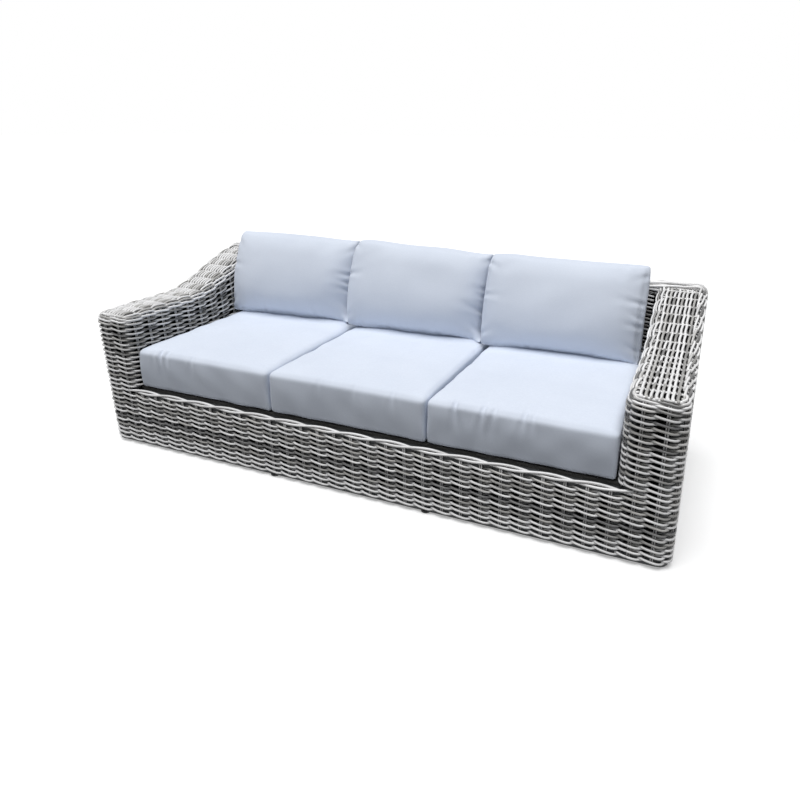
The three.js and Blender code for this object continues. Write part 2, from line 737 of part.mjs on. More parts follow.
// Seat frame: two long rails on short legs, a rail in each arm and the cross bearers between
const seatRailEnds = [
  ['front', seatRailFrontY, frontPostX - postRadius - seamGap],
  ['rear', backPostY, backPostX - postRadius - seamGap],
];
seatRailEnds.forEach(([word, y, endX]) => {
  add(`seat_rail_${word}`, squareTube([-endX, y, seatRailZ], [endX, y, seatRailZ]), tube);
  sides.forEach(({ word: sideWord, side }) => {
    const x = side * bearerSpacing;
    const legY = word === 'front' ? frontRailY : rearRailY;
    add(`seat_leg_${word}_${sideWord}`, squareTube(
      [x, legY, railTopZ + seamGap], [x, legY, seatRailBottomZ - seamGap]), tube);
  });
});
const bearerFrontY = seatRailFrontY + tubeSize / 2 + seamGap;
const bearerRearY = backPostY - tubeSize / 2 - seamGap;
['far_left', 'left', 'middle', 'right', 'far_right'].forEach((word, i) => {
  const x = (i - 2) * bearerSpacing;
  add(`seat_bearer_${word}`, squareTube([x, bearerFrontY, seatRailZ], [x, bearerRearY, seatRailZ]), tube);
});
sides.forEach(({ word, side }) => {
  const x = side * (armInnerX + railInset);
  add(`arm_seat_rail_${word}`, squareTube(
    [x, frontPostY + postRadius + seamGap, seatRailZ],
    [x, backPostY - postRadius - seamGap, seatRailZ]), tube);
});

// Back frame: a top rail bent down at its ends, and two stiles between it and the seat rail
const backBendRadius = backEndRadius - skinThickness - nestGap - loopDiameter / 2;
const backBend = (side) => spread(0, Math.PI / 2, cornerSteps).map((turn) => new THREE.Vector3(
  side * (backCornerX - backBendRadius * (1 - Math.cos(turn))), backPostY,
  backRailZ - backBendRadius * (1 - Math.sin(turn))));
const backRailPath = [...backBend(-1), ...backBend(1).reverse()];
const backRailBore = roundSection(loopDiameter - 2 * tubeWall, loopSides);
add('back_top_rail', sweep(backRailPath, roundSection(loopDiameter, loopSides), backRailBore, yAxis), tube);
const wideBackRail = sweep(backRailPath, roundSection(loopDiameter + 2 * seamGap, loopSides), null, yAxis);
sides.forEach(({ word, side }) => {
  const x = side * bearerSpacing;
  add(`back_stile_${word}`, squareTube(
    [x, backPostY, seatRailTopZ + seamGap], [x, backPostY, backRailZ - loopDiameter / 2 - seamGap]), tube);
});

// Arm frames: posts that saddle the bent rail of the arm, and two that reach up to the back rail
sides.forEach(({ word, side }) => {
  const path = armLoopPath(side);
  const loopBore = roundSection(loopDiameter - 2 * tubeWall, loopSides);
  const loop = sweep(path, roundSection(loopDiameter, loopSides), loopBore);
  const rearPosts = [[side * backCornerX, backCornerY], [side * backPostX, backPostY]];
  add(`arm_top_rail_${word}`,
    coped(loop, rearPosts.map(([x, y]) => widePost(x, y, backHeight))), tube);
  const wideLoop = sweep(path, roundSection(loopDiameter + 2 * seamGap, loopSides));
  const headDrop = loopInset + loopDiameter / 4;
  const frontPosts = [
    ['front_inner', frontPostX, frontPostY],
    ['front_outer', sideX - cornerRadius + cornerPostOffset, frontPostY],
    ['side', sideX - loopInset, 0],
  ];
  frontPosts.forEach(([place, x, y]) => {
    add(`arm_post_${place}_${word}`, coped(post(side * x, y, armTop(y) - headDrop), [wideLoop]), tube);
  });
  const bendFootZ = backRailZ - backBendRadius - seamGap;
  const [[outerX, outerY], [innerX, innerY]] = rearPosts;
  add(`back_post_outer_${word}`, post(outerX, outerY, bendFootZ), tube);
  add(`back_post_inner_${word}`,
    coped(post(innerX, innerY, backRailZ - loopDiameter / 4), [wideBackRail]), tube);
});

// Woven skin
const rightArm = armSkin();
add('arm_weave_right', rightArm, weave);
add('arm_weave_left', mirrored(rightArm), weave);
add('back_weave', backSkin(), weave);
add('front_weave', apronSkin(), weave);
const deckHalfX = armInnerX + skinThickness;
add('seat_deck_weave', boxBetween(
  [-deckHalfX, frontY + ledgeDepth + seamGap, deckHeight - skinThickness],
  [deckHalfX, backFaceY + skinThickness, deckHeight]), weave);

// Cushions: the seats fill the width, and the backs leave a little play
['left', 'middle', 'right'].forEach((word, i) => {
  add(`seat_cushion_${word}`, seatCushion((i - 1) * cushionPitch), fabric);
  add(`back_cushion_${word}`, backCushion((i - 1) * backCushionPitch), fabric);
});

export default sofa;
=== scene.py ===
# Woven garden sofa: rods, cushions, materials, floor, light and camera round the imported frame.
# Metres, +Z up, +Y towards the back.

import math

import bpy
import numpy as np
from mathutils import Matrix, Vector


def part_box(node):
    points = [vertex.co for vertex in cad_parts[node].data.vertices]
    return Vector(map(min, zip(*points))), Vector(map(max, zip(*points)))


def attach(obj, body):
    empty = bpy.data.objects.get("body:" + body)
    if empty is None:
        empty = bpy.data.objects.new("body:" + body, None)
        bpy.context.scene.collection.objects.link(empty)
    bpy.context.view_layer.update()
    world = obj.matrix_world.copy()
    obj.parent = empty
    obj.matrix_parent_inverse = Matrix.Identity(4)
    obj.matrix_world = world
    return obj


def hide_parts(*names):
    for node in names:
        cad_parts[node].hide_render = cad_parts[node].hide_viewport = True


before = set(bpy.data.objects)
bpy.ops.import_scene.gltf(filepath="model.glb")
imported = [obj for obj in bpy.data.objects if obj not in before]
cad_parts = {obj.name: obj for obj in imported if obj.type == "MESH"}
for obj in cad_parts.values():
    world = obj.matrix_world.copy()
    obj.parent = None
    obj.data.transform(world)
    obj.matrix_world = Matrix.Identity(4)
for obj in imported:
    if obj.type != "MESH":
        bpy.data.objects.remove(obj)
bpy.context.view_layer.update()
scene = bpy.context.scene
rng = np.random.default_rng(7)

# Sizes of the frame that the rods lie on
back_low, back_high = [Vector(corner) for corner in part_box("back_weave")]
HALF_WIDTH, REAR_Y = back_high.x, back_high.y
FRONT_Y = -REAR_Y
ARM_INNER_X = Vector(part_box("arm_weave_right")[0]).x
ARM_MIDDLE_X = (HALF_WIDTH + ARM_INNER_X) / 2
BACK_FACE_Y = back_low.y
BACK_TOP_Z = back_high.z
DECK_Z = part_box("seat_deck_weave")[1][2]
LEVEL_ARM_LENGTH = 0.355
SWEEP_START_Y = FRONT_Y + LEVEL_ARM_LENGTH
ARM_END_DROP = 0.008
ARM_TOP_Z = 0.570
ARM_END_Z = BACK_TOP_Z - ARM_END_DROP
CORNER_RADIUS = 0.048
SHOULDER_RADIUS = 0.035
ROLL_RADIUS = 0.029
BACK_END_RADIUS = 0.045
LEDGE_DEPTH = 0.040
LEDGE_END_X = ARM_INNER_X + CORNER_RADIUS

# Rods: two strands twist round each pair of stakes
ROD_RADIUS = 0.0044
ROD_SIDES = 6
RADIUS_SPREAD = (0.94, 1.04)
TWIST_DEPTH = 0.0079
TWIST_RISE = 0.0034
TWIST_HOLD = 1.7
TWIST_SCATTER = 0.07
ROW_WANDER = 0.0007
HIND_DROP = 0.0032
# Painted shade: how much darker a strand's tone is painted where it passes behind a stake
HIND_SHADE = 0.40
COLUMN_COUNT = 88
STEPS_PER_COLUMN = 9
ARC_POINTS = 13

# Tones from pale to dark, and the share of the strands that each range has
TONE_RANGES = ((0.62, 1.0), (0.3, 0.6), (0.0, 0.25))
TONE_SHARES = (0.64, 0.26, 0.10)

# Stakes, of which those at an arm's front end lower on the shoulder
STAKE_RADIUS = 0.0024
STAKE_SIDES = 5
STAKE_GAP = 0.0064
STAKE_INSET = 0.0127
STAKE_STEP = 0.03
STAKE_POINTS = 6
FACE_STAKE_POINTS = 16
FRONT_STAKE_TURN = 1.2
TOP_STAKE_OVERLAP = 0.012

# Rows on the walls, of which the last few under the ledge come down to make room for its border
LOWEST_ROW_Z = 0.014
LOWER_ROWS = 12
LOWERED_ROWS = 3
LEDGE_GAP = 0.0045
LEDGE_FADE = 0.08
FRONT_ROWS = 14
REAR_ROWS = 21
WHOLE_ROWS = [int(row * REAR_ROWS / FRONT_ROWS + 0.5) for row in range(FRONT_ROWS)]
ADDED_ROW_START = 0.35
ADDED_ROW_WEIGHTS = (0.42, 0.56)
SHORTEST_RUN = 4
BACK_FACE_ROWS = 27
FACE_END_GAP = 0.004

# Rows round an arm's shoulder: the turn of each along the arm, and in the bundle round its front
SHOULDER_TURNS = ((0.26, 0.14), (0.79, 0.60), (1.31, 1.04))
SHOULDER_OVERLAP = 0.02
BUNDLE_START, BUNDLE_END = 0.03, 0.16
BUNDLE_FLATTENING = 0.0045
BUNDLE_TIGHTENING = 0.0006

# Rows along an arm's top
TOP_ROWS = 8
TOP_ROW_PITCH = 0.0146
TOP_COLUMN_SHARE = 0.72
TOP_ROD_RADIUS = 0.0047
TOP_RISE = 0.0018
TOP_DIP, TOP_DIP_LENGTH = 0.007, 0.07
TOP_OVERLAP = 0.004
NOSE_TURNS = (0.66, 0.33)

# Border rods of the ledge
BORDER_RADIUS = ROD_RADIUS * 1.06
BORDER_TILT = 0.80
BORDER_IN, BORDER_DOWN = 0.0125, 0.0105
BORDER_WIDTH, BORDER_DEPTH = 0.0062, 0.0042
BORDER_OVERLAP = 0.01

# Band over the back: the turn of each rod round the roll, the start of its wave, and how far it lies
# below the roll
BAND_RODS = ((-math.pi / 2, 0.0, 0.020), (-math.pi / 2, math.pi, 0.012), (-math.pi / 2, 0.5, 0.004),
             (-1.22, math.pi, 0), (-0.88, 0.4, 0), (-0.52, math.pi, 0), (-0.12, 0.3, 0),
             (0.32, math.pi, 0), (0.76, 0.3, 0), (1.20, math.pi, 0), (math.pi / 2, 0.3, 0.004))
BAND_RADIUS = ROD_RADIUS * 1.25
BAND_SWING = 0.20
BAND_DEPTH = 0.0030
BAND_SINK = 0.005
BAND_FOOT = 0.03

# Dark sheets behind the rods: painted shade for the unlit inside
SHADE_SHEET_INSET = 0.0245
SHADE_SHEET_THICKNESS = 0.002
SHADE_SHEET_FOOT_Z = LOWEST_ROW_Z + 0.004
SHADE_SHEET_ROWS = 4
SHADE_SHEET_COLUMNS = 40
ARM_SHADE_SHEET_COLUMNS = 90

LEFT_ARM, RIGHT_ARM, BACK, FRONT = "arm_weave_left", "arm_weave_right", "back_weave", "front_weave"


# Meshes

def triples(x, y, z):
    """Rows of three, such as points or triangles, from arrays and single numbers."""
    return np.stack(np.broadcast_arrays(x, y, z), axis=-1)


def mesh_object(name, points, quads, triangles=()):
    """A smooth mesh from arrays of points, quads and triangles."""
    triangles = np.asarray(triangles, np.int32).reshape(-1, 3)
    corners = np.concatenate((np.asarray(quads, np.int32).reshape(-1), triangles.reshape(-1)))
    sizes = np.repeat((4, 3), (len(quads), len(triangles)))
    starts = np.concatenate(([0], np.cumsum(sizes)[:-1]))
    mesh = bpy.data.meshes.new(name)
    mesh.vertices.add(len(points))
    mesh.vertices.foreach_set("co", np.asarray(points, np.float32).reshape(-1))
    mesh.loops.add(len(corners))
    mesh.loops.foreach_set("vertex_index", corners.astype(np.int32))
    mesh.polygons.add(len(sizes))
    mesh.polygons.foreach_set("loop_start", starts.astype(np.int32))
    mesh.polygons.foreach_set("use_smooth", np.ones(len(sizes), bool))
    mesh.update(calc_edges=True)
    piece = bpy.data.objects.new(name, mesh)
    scene.collection.objects.link(piece)
    return piece


class RodSet:
    """Tubes gathered into one mesh, with a tone for each point, painted darker as shade where a strand passes
    behind a stake, and a place along and round each rod for its material.
    """

    def __init__(self):
        self.points, self.quads, self.triangles = [], [], []
        self.tones, self.places = [], []
        self.count = 0

    def add(self, path, outward, radius, tone, sides=ROD_SIDES):
        steps = np.gradient(path, axis=0)
        ahead = steps / np.linalg.norm(steps, axis=1, keepdims=True)
        side = np.cross(ahead, outward)
        side /= np.linalg.norm(side, axis=1, keepdims=True)
        up = np.cross(side, ahead)
        turns = np.arange(sides) * 2 * math.pi / sides
        ring = np.cos(turns)[:, None] * side[:, None] + np.sin(turns)[:, None] * up[:, None]
        points = path[:, None] + ring * radius
        tips = np.stack((path[0] - ahead[0] * radius / 2, path[-1] + ahead[-1] * radius / 2))
        along = np.concatenate(([0], np.cumsum(np.linalg.norm(np.diff(path, axis=0), axis=1))))
        seed = rng.uniform(0, 50)
        place = triples(along[:, None] + seed, np.cos(turns), np.sin(turns))
        k = np.arange(sides)
        after = (k + 1) % sides
        station = np.arange(len(path) - 1)[:, None] * sides
        quads = np.stack((station + k, station + after, station + sides + after, station + sides + k),
                         axis=-1)
        first_tip = len(path) * sides
        last = first_tip - sides
        triangles = np.concatenate((triples(after, k, first_tip),
                                    triples(last + k, last + after, first_tip + 1)))
        self.points += [points.reshape(-1, 3), tips]
        self.quads.append(quads.reshape(-1, 4) + self.count)
        self.triangles.append(triangles + self.count)
        self.places += [place.reshape(-1, 3), triples(along[[0, -1]] + seed, 0, 0)]
        tones = np.broadcast_to(tone, (len(path),))
        self.tones += [np.repeat(tones, sides), tones[[0, -1]]]
        self.count += first_tip + 2

    def build(self, name):
        piece = mesh_object(name, np.concatenate(self.points), np.concatenate(self.quads),
                            np.concatenate(self.triangles))
        tone = piece.data.attributes.new("tone", "FLOAT", "POINT")
        tone.data.foreach_set("value", np.concatenate(self.tones).astype(np.float32))
        place = piece.data.attributes.new("place", "FLOAT_VECTOR", "POINT")
        place.data.foreach_set("vector", np.concatenate(self.places).reshape(-1).astype(np.float32))
        return piece


def grid_quads(rows, columns, first=0):
    """Quads between the points of a grid, numbered row by row from the first."""
    index = np.arange(rows * columns).reshape(rows, columns) + first
    corners = (index[:-1, :-1], index[:-1, 1:], index[1:, 1:], index[1:, :-1])
    return np.stack(corners, axis=-1).reshape(-1, 4)


def thin_sheet(name, grid):
    """A closed thin sheet: the grid of points, a second face behind it and four edges."""
    rows, columns = grid.shape[:2]
    normals = np.cross(np.gradient(grid, axis=1), np.gradient(grid, axis=0))
    normals /= np.linalg.norm(normals, axis=2, keepdims=True) + 1e-12
    behind = grid - normals * SHADE_SHEET_THICKNESS
    size = rows * columns
    index = np.arange(size).reshape(rows, columns)
    rim = np.concatenate((index[0], index[1:, -1], index[-1, -2::-1], index[-2:0:-1, 0]))
    after = np.roll(rim, -1)
    edge = np.stack((rim, rim + size, after + size, after), axis=-1)
    quads = np.concatenate((grid_quads(rows, columns)[:, ::-1], grid_quads(rows, columns, size), edge))
    return mesh_object(name, np.concatenate((grid.reshape(-1, 3), behind.reshape(-1, 3))), quads)


def random_tone():
    """Most strands are pale, some are mid grey and a few are dark."""
    return float(rng.choice([rng.uniform(*tones) for tones in TONE_RANGES], p=TONE_SHARES))


def row_wander(s):
    """A slow random rise and fall along a row."""
    waves = [(rng.uniform(0.6, 1.6) / COLUMN, rng.uniform(0, 2 * math.pi)) for _ in range(3)]
    return ROW_WANDER * sum(np.sin(s * rate + start) for rate, start in waves) / 2


# The outline that the rods follow

def smoothstep(value, low, high):
    share = np.clip((value - low) / (high - low), 0, 1)
    return share * share * (3 - 2 * share)


def arm_rise(y):
    return smoothstep(y, SWEEP_START_Y, REAR_Y)


def arm_top(y):
    return ARM_TOP_Z + (ARM_END_Z - ARM_TOP_Z) * arm_rise(y)


class Outline:
    """Half of the plan outline, from the middle of the back round the left side.

    Distances below zero give the mirror image, so the outline runs anticlockwise from above."""

    def __init__(self, inset, upper):
        radius = CORNER_RADIUS - inset
        side_x, rear_y, front_y = HALF_WIDTH - inset, REAR_Y - inset, FRONT_Y + inset
        corner_x, corner_y = HALF_WIDTH - CORNER_RADIUS, REAR_Y - CORNER_RADIUS
        runs = [self._line((0, rear_y), (-corner_x, rear_y), (0, 1)),
                self._arc((-corner_x, corner_y), radius, 0.5),
                self._line((-side_x, corner_y), (-side_x, -corner_y), (-1, 0)),
                self._arc((-corner_x, -corner_y), radius, 1.0)]
        if upper:
            inner_x = ARM_INNER_X + inset
            runs += [self._line((-corner_x, front_y), (-LEDGE_END_X, front_y), (0, -1)),
                     self._arc((-LEDGE_END_X, -corner_y), radius, 1.5),
                     self._line((-inner_x, -corner_y), (-inner_x, BACK_FACE_Y), (1, 0))]
        else:
            runs.append(self._line((-corner_x, front_y), (0, front_y), (0, -1)))
        self.xy = np.concatenate([xy for xy, _ in runs])
        self.normals = np.concatenate([normal for _, normal in runs])
        lengths = np.linalg.norm(np.diff(self.xy, axis=0), axis=1)
        self.s = np.concatenate(([0], np.cumsum(lengths)))
        self.length = self.s[-1]

    @staticmethod
    def _line(start, end, normal):
        return np.array([start, end], float), np.array([normal, normal], float)

    @staticmethod
    def _arc(centre, radius, start):
        turns = np.linspace(start, start + 0.5, ARC_POINTS) * math.pi
        normals = np.stack((np.cos(turns), np.sin(turns)), axis=1)
        return np.array(centre) + radius * normals, normals

    def at(self, s):
        """Places and outward directions at distances along the outline."""
        xy, normals = [np.stack([np.interp(np.abs(s), self.s, values[:, i]) for i in (0, 1)], axis=1)
                       for values in (self.xy, self.normals)]
        way = np.where(s < 0, -1.0, 1.0)
        xy[:, 0] *= way
        normals[:, 0] *= way
        return xy, normals / np.linalg.norm(normals, axis=1, keepdims=True)

    def distance_to(self, y):
        """Distance along the outline to a place in Y on the left arm's outer side."""
        side = np.abs(self.xy[:, 0] - self.xy[:, 0].min()) < 1e-6
        ys, ss = self.xy[side, 1], self.s[side]
        order = np.argsort(ys)
        return float(np.interp(y, ys[order], ss[order]))


lower = Outline(STAKE_INSET, upper=False)
upper = Outline(STAKE_INSET, upper=True)
COLUMN = 2 * lower.length / COLUMN_COUNT
STEP = COLUMN / STEPS_PER_COLUMN
BORDER_WAVE = 4 * COLUMN
rods = {region: RodSet() for region in (LEFT_ARM, RIGHT_ARM, BACK, FRONT)}
LOWER_PITCH = (DECK_Z - LOWEST_ROW_Z) / LOWER_ROWS
ROD_SHOULDER_RADIUS = SHOULDER_RADIUS - STAKE_INSET


def regions_of(points):
    """Which shell each point lies on."""
    x, y, z = points.T
    arm = np.where(x < 0, LEFT_ARM, RIGHT_ARM)
    in_front = (np.abs(x) < LEDGE_END_X) & (z < DECK_Z) & (y < FRONT_Y + CORNER_RADIUS)
    return np.where(y > BACK_FACE_Y, BACK, np.where(in_front, FRONT, arm))


def lay(path, outward, radius, tone, regions):
    """Adds a rod, cut into the pieces of the shells that it crosses."""
    tones = np.broadcast_to(tone, (len(path),))
    cuts = [0] + [i for i in range(1, len(path)) if regions[i] != regions[i - 1]] + [len(path) - 1]
    for start, end in zip(cuts, cuts[1:]):
        if end > start:
            part = slice(start, end + 1)
            rods[regions[start]].add(path[part], outward[part], radius, tones[part])


def across_rows(base, outward):
    """The direction from each row to the one above it."""
    steps = np.gradient(base, axis=0)
    up = np.cross(outward, steps)
    return up / np.linalg.norm(up, axis=1, keepdims=True)


def twine(s, base, outward, regions, depth=TWIST_DEPTH, rise=TWIST_RISE,
          drop=HIND_DROP, radius=ROD_RADIUS, column=COLUMN):
    """Two strands that twist round the stakes, each in front of every second one."""
    up = across_rows(base, outward)
    shift = rng.normal(0, TWIST_SCATTER)
    lift = row_wander(s)
    for strand in (0, 1):
        turn = math.pi * (s / column - 0.5 + strand) + shift
        depths = depth * np.tanh(TWIST_HOLD * np.cos(turn)) / math.tanh(TWIST_HOLD)
        rises = lift - rise * np.sin(turn) - drop * np.clip(-np.cos(turn), 0, 1)
        path = base + outward * depths[:, None] + up * rises[:, None]
        # Each strand's own tone, painted darker where it lies behind a stake, as shade in the recess
        tone = random_tone() - HIND_SHADE * np.clip(-np.cos(turn), 0, 1)
        lay(path, outward, radius * rng.uniform(*RADIUS_SPREAD), tone, regions)


def runs_where(flags):
    """The runs of neighbouring samples at which the flags hold, by their numbers."""
    breaks = np.flatnonzero(np.diff(flags.astype(int))) + 1
    return [run for run in np.split(np.arange(len(flags)), breaks) if flags[run[0]]]


def samples(start, end):
    """Distances between two ends, in whole steps."""
    return np.arange(math.ceil(start / STEP), math.floor(end / STEP) + 1) * STEP


def on_wall(outline, s, heights):
    """Points and their outward directions on a wall."""
    xy, normals = outline.at(s)
    return triples(*xy.T, heights), triples(*normals.T, 0.0)


# Rows of rods

def lower_rows():
    """Rows round the whole sofa up to the seat. The last one leaves out the front, where the border lies."""
    s = samples(-lower.length, lower.length)
    s = np.concatenate((s[s >= 0], s[s < 0] + 2 * lower.length, [2 * lower.length]))
    s_outline = np.where(s > lower.length, s - 2 * lower.length, s)
    last = LOWER_ROWS - 1
    for row in range(LOWER_ROWS):
        base, outward = on_wall(lower, s_outline, LOWEST_ROW_Z + (row + 0.5) * LOWER_PITCH)
        regions = regions_of(base)
        edge = np.where(base[:, 1] < 0, smoothstep(LEDGE_END_X - np.abs(base[:, 0]), 0.0, LEDGE_FADE), 0.0)
        base[:, 2] -= LEDGE_GAP * edge * max(0, row - last + LOWERED_ROWS + 1) / LOWERED_ROWS
        for run in runs_where((regions != FRONT) | (row < last)):
            twine(s[run], base[run], outward[run], regions[run])


def ledge_border():
    """Two pale rods that cross in long waves along the front edge of the seat, between the two arms."""
    x = samples(-LEDGE_END_X - BORDER_OVERLAP, LEDGE_END_X + BORDER_OVERLAP)
    outward = np.tile([0.0, -math.cos(BORDER_TILT), math.sin(BORDER_TILT)], (len(x), 1))
    base = triples(x, FRONT_Y + BORDER_IN, DECK_Z - BORDER_DOWN)
    up = across_rows(base, outward)
    for start in (0.0, math.pi):
        turn = 2 * math.pi * x / BORDER_WAVE + start
        path = (base + up * (BORDER_WIDTH * np.sin(turn))[:, None]
                + outward * (BORDER_DEPTH * np.cos(turn))[:, None])
        lay(path, outward, BORDER_RADIUS, rng.uniform(0.72, 1.0), np.full(len(x), FRONT))


def upper_rows():
    """Rows on the arms' sides from the seat to the shoulder, with more of them where the arm sweeps up."""
    s = samples(-upper.length, upper.length)
    xy, _ = upper.at(s)
    limit = arm_top(xy[:, 1]) - SHOULDER_RADIUS - DECK_Z
    weights = np.repeat(smoothstep(arm_rise(xy[:, 1]), ADDED_ROW_START, 1.0)[:, None], REAR_ROWS, axis=1)
    weights[:, WHOLE_ROWS] = 1
    below = np.cumsum(weights, axis=1) - weights / 2
    total = weights.sum(axis=1)
    for row in range(REAR_ROWS):
        base, outward = on_wall(upper, s, DECK_Z + below[:, row] / total * limit)
        for run in runs_where(weights[:, row] > rng.uniform(*ADDED_ROW_WEIGHTS)):
            if len(run) >= SHORTEST_RUN:
                twine(s[run], base[run], outward[run], regions_of(base[run]))


def shoulder_point(s, turn):
    """Points and their outward directions on the rounded shoulder of an arm."""
    xy, normals = upper.at(s)
    inward = ROD_SHOULDER_RADIUS * (1 - np.cos(turn))
    z = arm_top(xy[:, 1]) - STAKE_INSET - ROD_SHOULDER_RADIUS * (1 - np.sin(turn))
    base = triples(*(xy - normals * inward[:, None]).T, z)
    return base, triples(*(normals * np.cos(turn)[:, None]).T, np.sin(turn))


def shoulder_rows():
    """Rows round the shoulder of each arm, which draw together into a bundle round its front."""
    start = upper.distance_to(BACK_FACE_Y + SHOULDER_OVERLAP)
    for way, region in ((1, LEFT_ARM), (-1, RIGHT_ARM)):
        s = samples(*sorted((way * start, way * upper.length)))
        xy, _ = upper.at(s)
        bundled = 1 - smoothstep(xy[:, 1], FRONT_Y + BUNDLE_START, FRONT_Y + BUNDLE_END)
        regions = np.full(len(s), region)
        for turn, bundle_turn in SHOULDER_TURNS:
            base, outward = shoulder_point(s, turn + (bundle_turn - turn) * bundled)
            twine(s, base, outward, regions, depth=TWIST_DEPTH - BUNDLE_FLATTENING * bundled,
                  rise=TWIST_RISE - BUNDLE_TIGHTENING * bundled,
                  drop=HIND_DROP * math.cos(turn) * (1 - bundled))


def top_rows():
    """Lengthwise rows on each arm's top, whose front ends tuck in behind the bundle."""
    y = np.arange(FRONT_Y + SHOULDER_RADIUS, BACK_FACE_Y + TOP_OVERLAP, STEP)
    dip = TOP_DIP * smoothstep(y, BACK_FACE_Y - TOP_DIP_LENGTH, BACK_FACE_Y)
    height = arm_top(y) - STAKE_INSET - dip
    outward = triples(0.0, -np.gradient(height, y), 1.0)
    outward /= np.linalg.norm(outward, axis=1, keepdims=True)
    nose_out = triples(0.0, -np.sin(NOSE_TURNS), np.cos(NOSE_TURNS))
    nose = nose_out * ROD_SHOULDER_RADIUS + (0.0, y[0], ARM_TOP_Z - SHOULDER_RADIUS)
    s = np.concatenate((y[0] - STEP * np.array([2, 1]), y))
    for way, region in ((-1, LEFT_ARM), (1, RIGHT_ARM)):
        for row in range(TOP_ROWS):
            x = way * ARM_MIDDLE_X + (row - (TOP_ROWS - 1) / 2) * TOP_ROW_PITCH
            nose[:, 0] = x
            base = np.vstack((nose, triples(x, y, height)))
            twine(s, base, np.vstack((nose_out, outward)), np.full(len(s), region),
                  rise=TOP_RISE, drop=0, radius=TOP_ROD_RADIUS, column=TOP_COLUMN_SHARE * COLUMN)


def back_rows():
    """Rows on the inner face of the back."""
    pitch = (ARM_END_Z - SHOULDER_RADIUS - DECK_Z) / BACK_FACE_ROWS
    x = samples(-ARM_INNER_X + FACE_END_GAP, ARM_INNER_X - FACE_END_GAP)
    outward = np.tile([0.0, -1.0, 0.0], (len(x), 1))
    for row in range(BACK_FACE_ROWS):
        base = triples(x, BACK_FACE_Y + STAKE_INSET, DECK_Z + (row + 0.5) * pitch)
        twine(x, base, outward, np.full(len(x), BACK))


def back_band():
    """Border rods that cross in long waves over the top of the back and down its two ends."""
    bend = BACK_END_RADIUS - ROLL_RADIUS
    straight = HALF_WIDTH - BACK_END_RADIUS
    half = straight + bend * math.pi / 2 + BAND_FOOT
    u = np.linspace(-half, half, int(2 * half / STEP))
    way = np.sign(u)
    over = np.clip(np.abs(u) - straight, 0, bend * math.pi / 2) / bend
    down = np.clip(np.abs(u) - straight - bend * math.pi / 2, 0, None)
    line = triples(way * (np.minimum(np.abs(u), straight) + bend * np.sin(over)),
                   (BACK_FACE_Y + REAR_Y) / 2, BACK_TOP_Z - ROLL_RADIUS - bend * (1 - np.cos(over)) - down)
    out = triples(way * np.sin(over), 0.0, np.cos(over))
    rearward = np.array([0.0, 1.0, 0.0])
    flat_half = (REAR_Y - BACK_FACE_Y) / 2 - ROLL_RADIUS
    for turn, start, below in BAND_RODS:
        wave = 2 * math.pi * u / BORDER_WAVE + start
        angle = turn + BAND_SWING * np.sin(wave) * (below == 0)
        sunk = below + BAND_SINK * np.sin(wave) * (below > 0)
        reach = ROLL_RADIUS - BAND_RADIUS - BAND_DEPTH + BAND_DEPTH * np.cos(wave)
        outward = out * np.cos(angle)[:, None] + rearward * np.sin(angle)[:, None]
        path = (line + outward * reach[:, None] + rearward * (flat_half * np.sin(angle))[:, None]
                - out * sunk[:, None])
        lay(path, outward, BAND_RADIUS, rng.uniform(0.75, 1.0), np.full(len(u), BACK))


# Stakes

def stake_pair(path, outward, across, region):
    for side in (-1, 1):
        shift = np.array(across) * side * STAKE_GAP / 2
        rods[region].add(path + shift, outward, STAKE_RADIUS, rng.uniform(0.5, 0.9), STAKE_SIDES)


def wall_stake(outline, s, foot_z, head_z, head_turn, region=None):
    """A pair of stakes up a wall, over the shoulder by a turn, where there is one."""
    (xy,), (normal,) = outline.at(np.array([s]))
    heights = np.append(np.arange(foot_z, head_z, STAKE_STEP), head_z)
    path = triples(*xy, heights)
    outward = np.tile([*normal, 0.0], (len(heights), 1))
    if head_turn > 0:
        turns = np.linspace(0, head_turn, STAKE_POINTS)[1:]
        arc_xy = xy - normal * (ROD_SHOULDER_RADIUS * (1 - np.cos(turns)))[:, None]
        arc_out = normal * np.cos(turns)[:, None]
        path = np.vstack((path, triples(*arc_xy.T, head_z + ROD_SHOULDER_RADIUS * np.sin(turns))))
        outward = np.vstack((outward, triples(*arc_out.T, np.sin(turns))))
    stake_pair(path, outward, (-normal[1], normal[0], 0.0), region or regions_of(path[:1])[0])


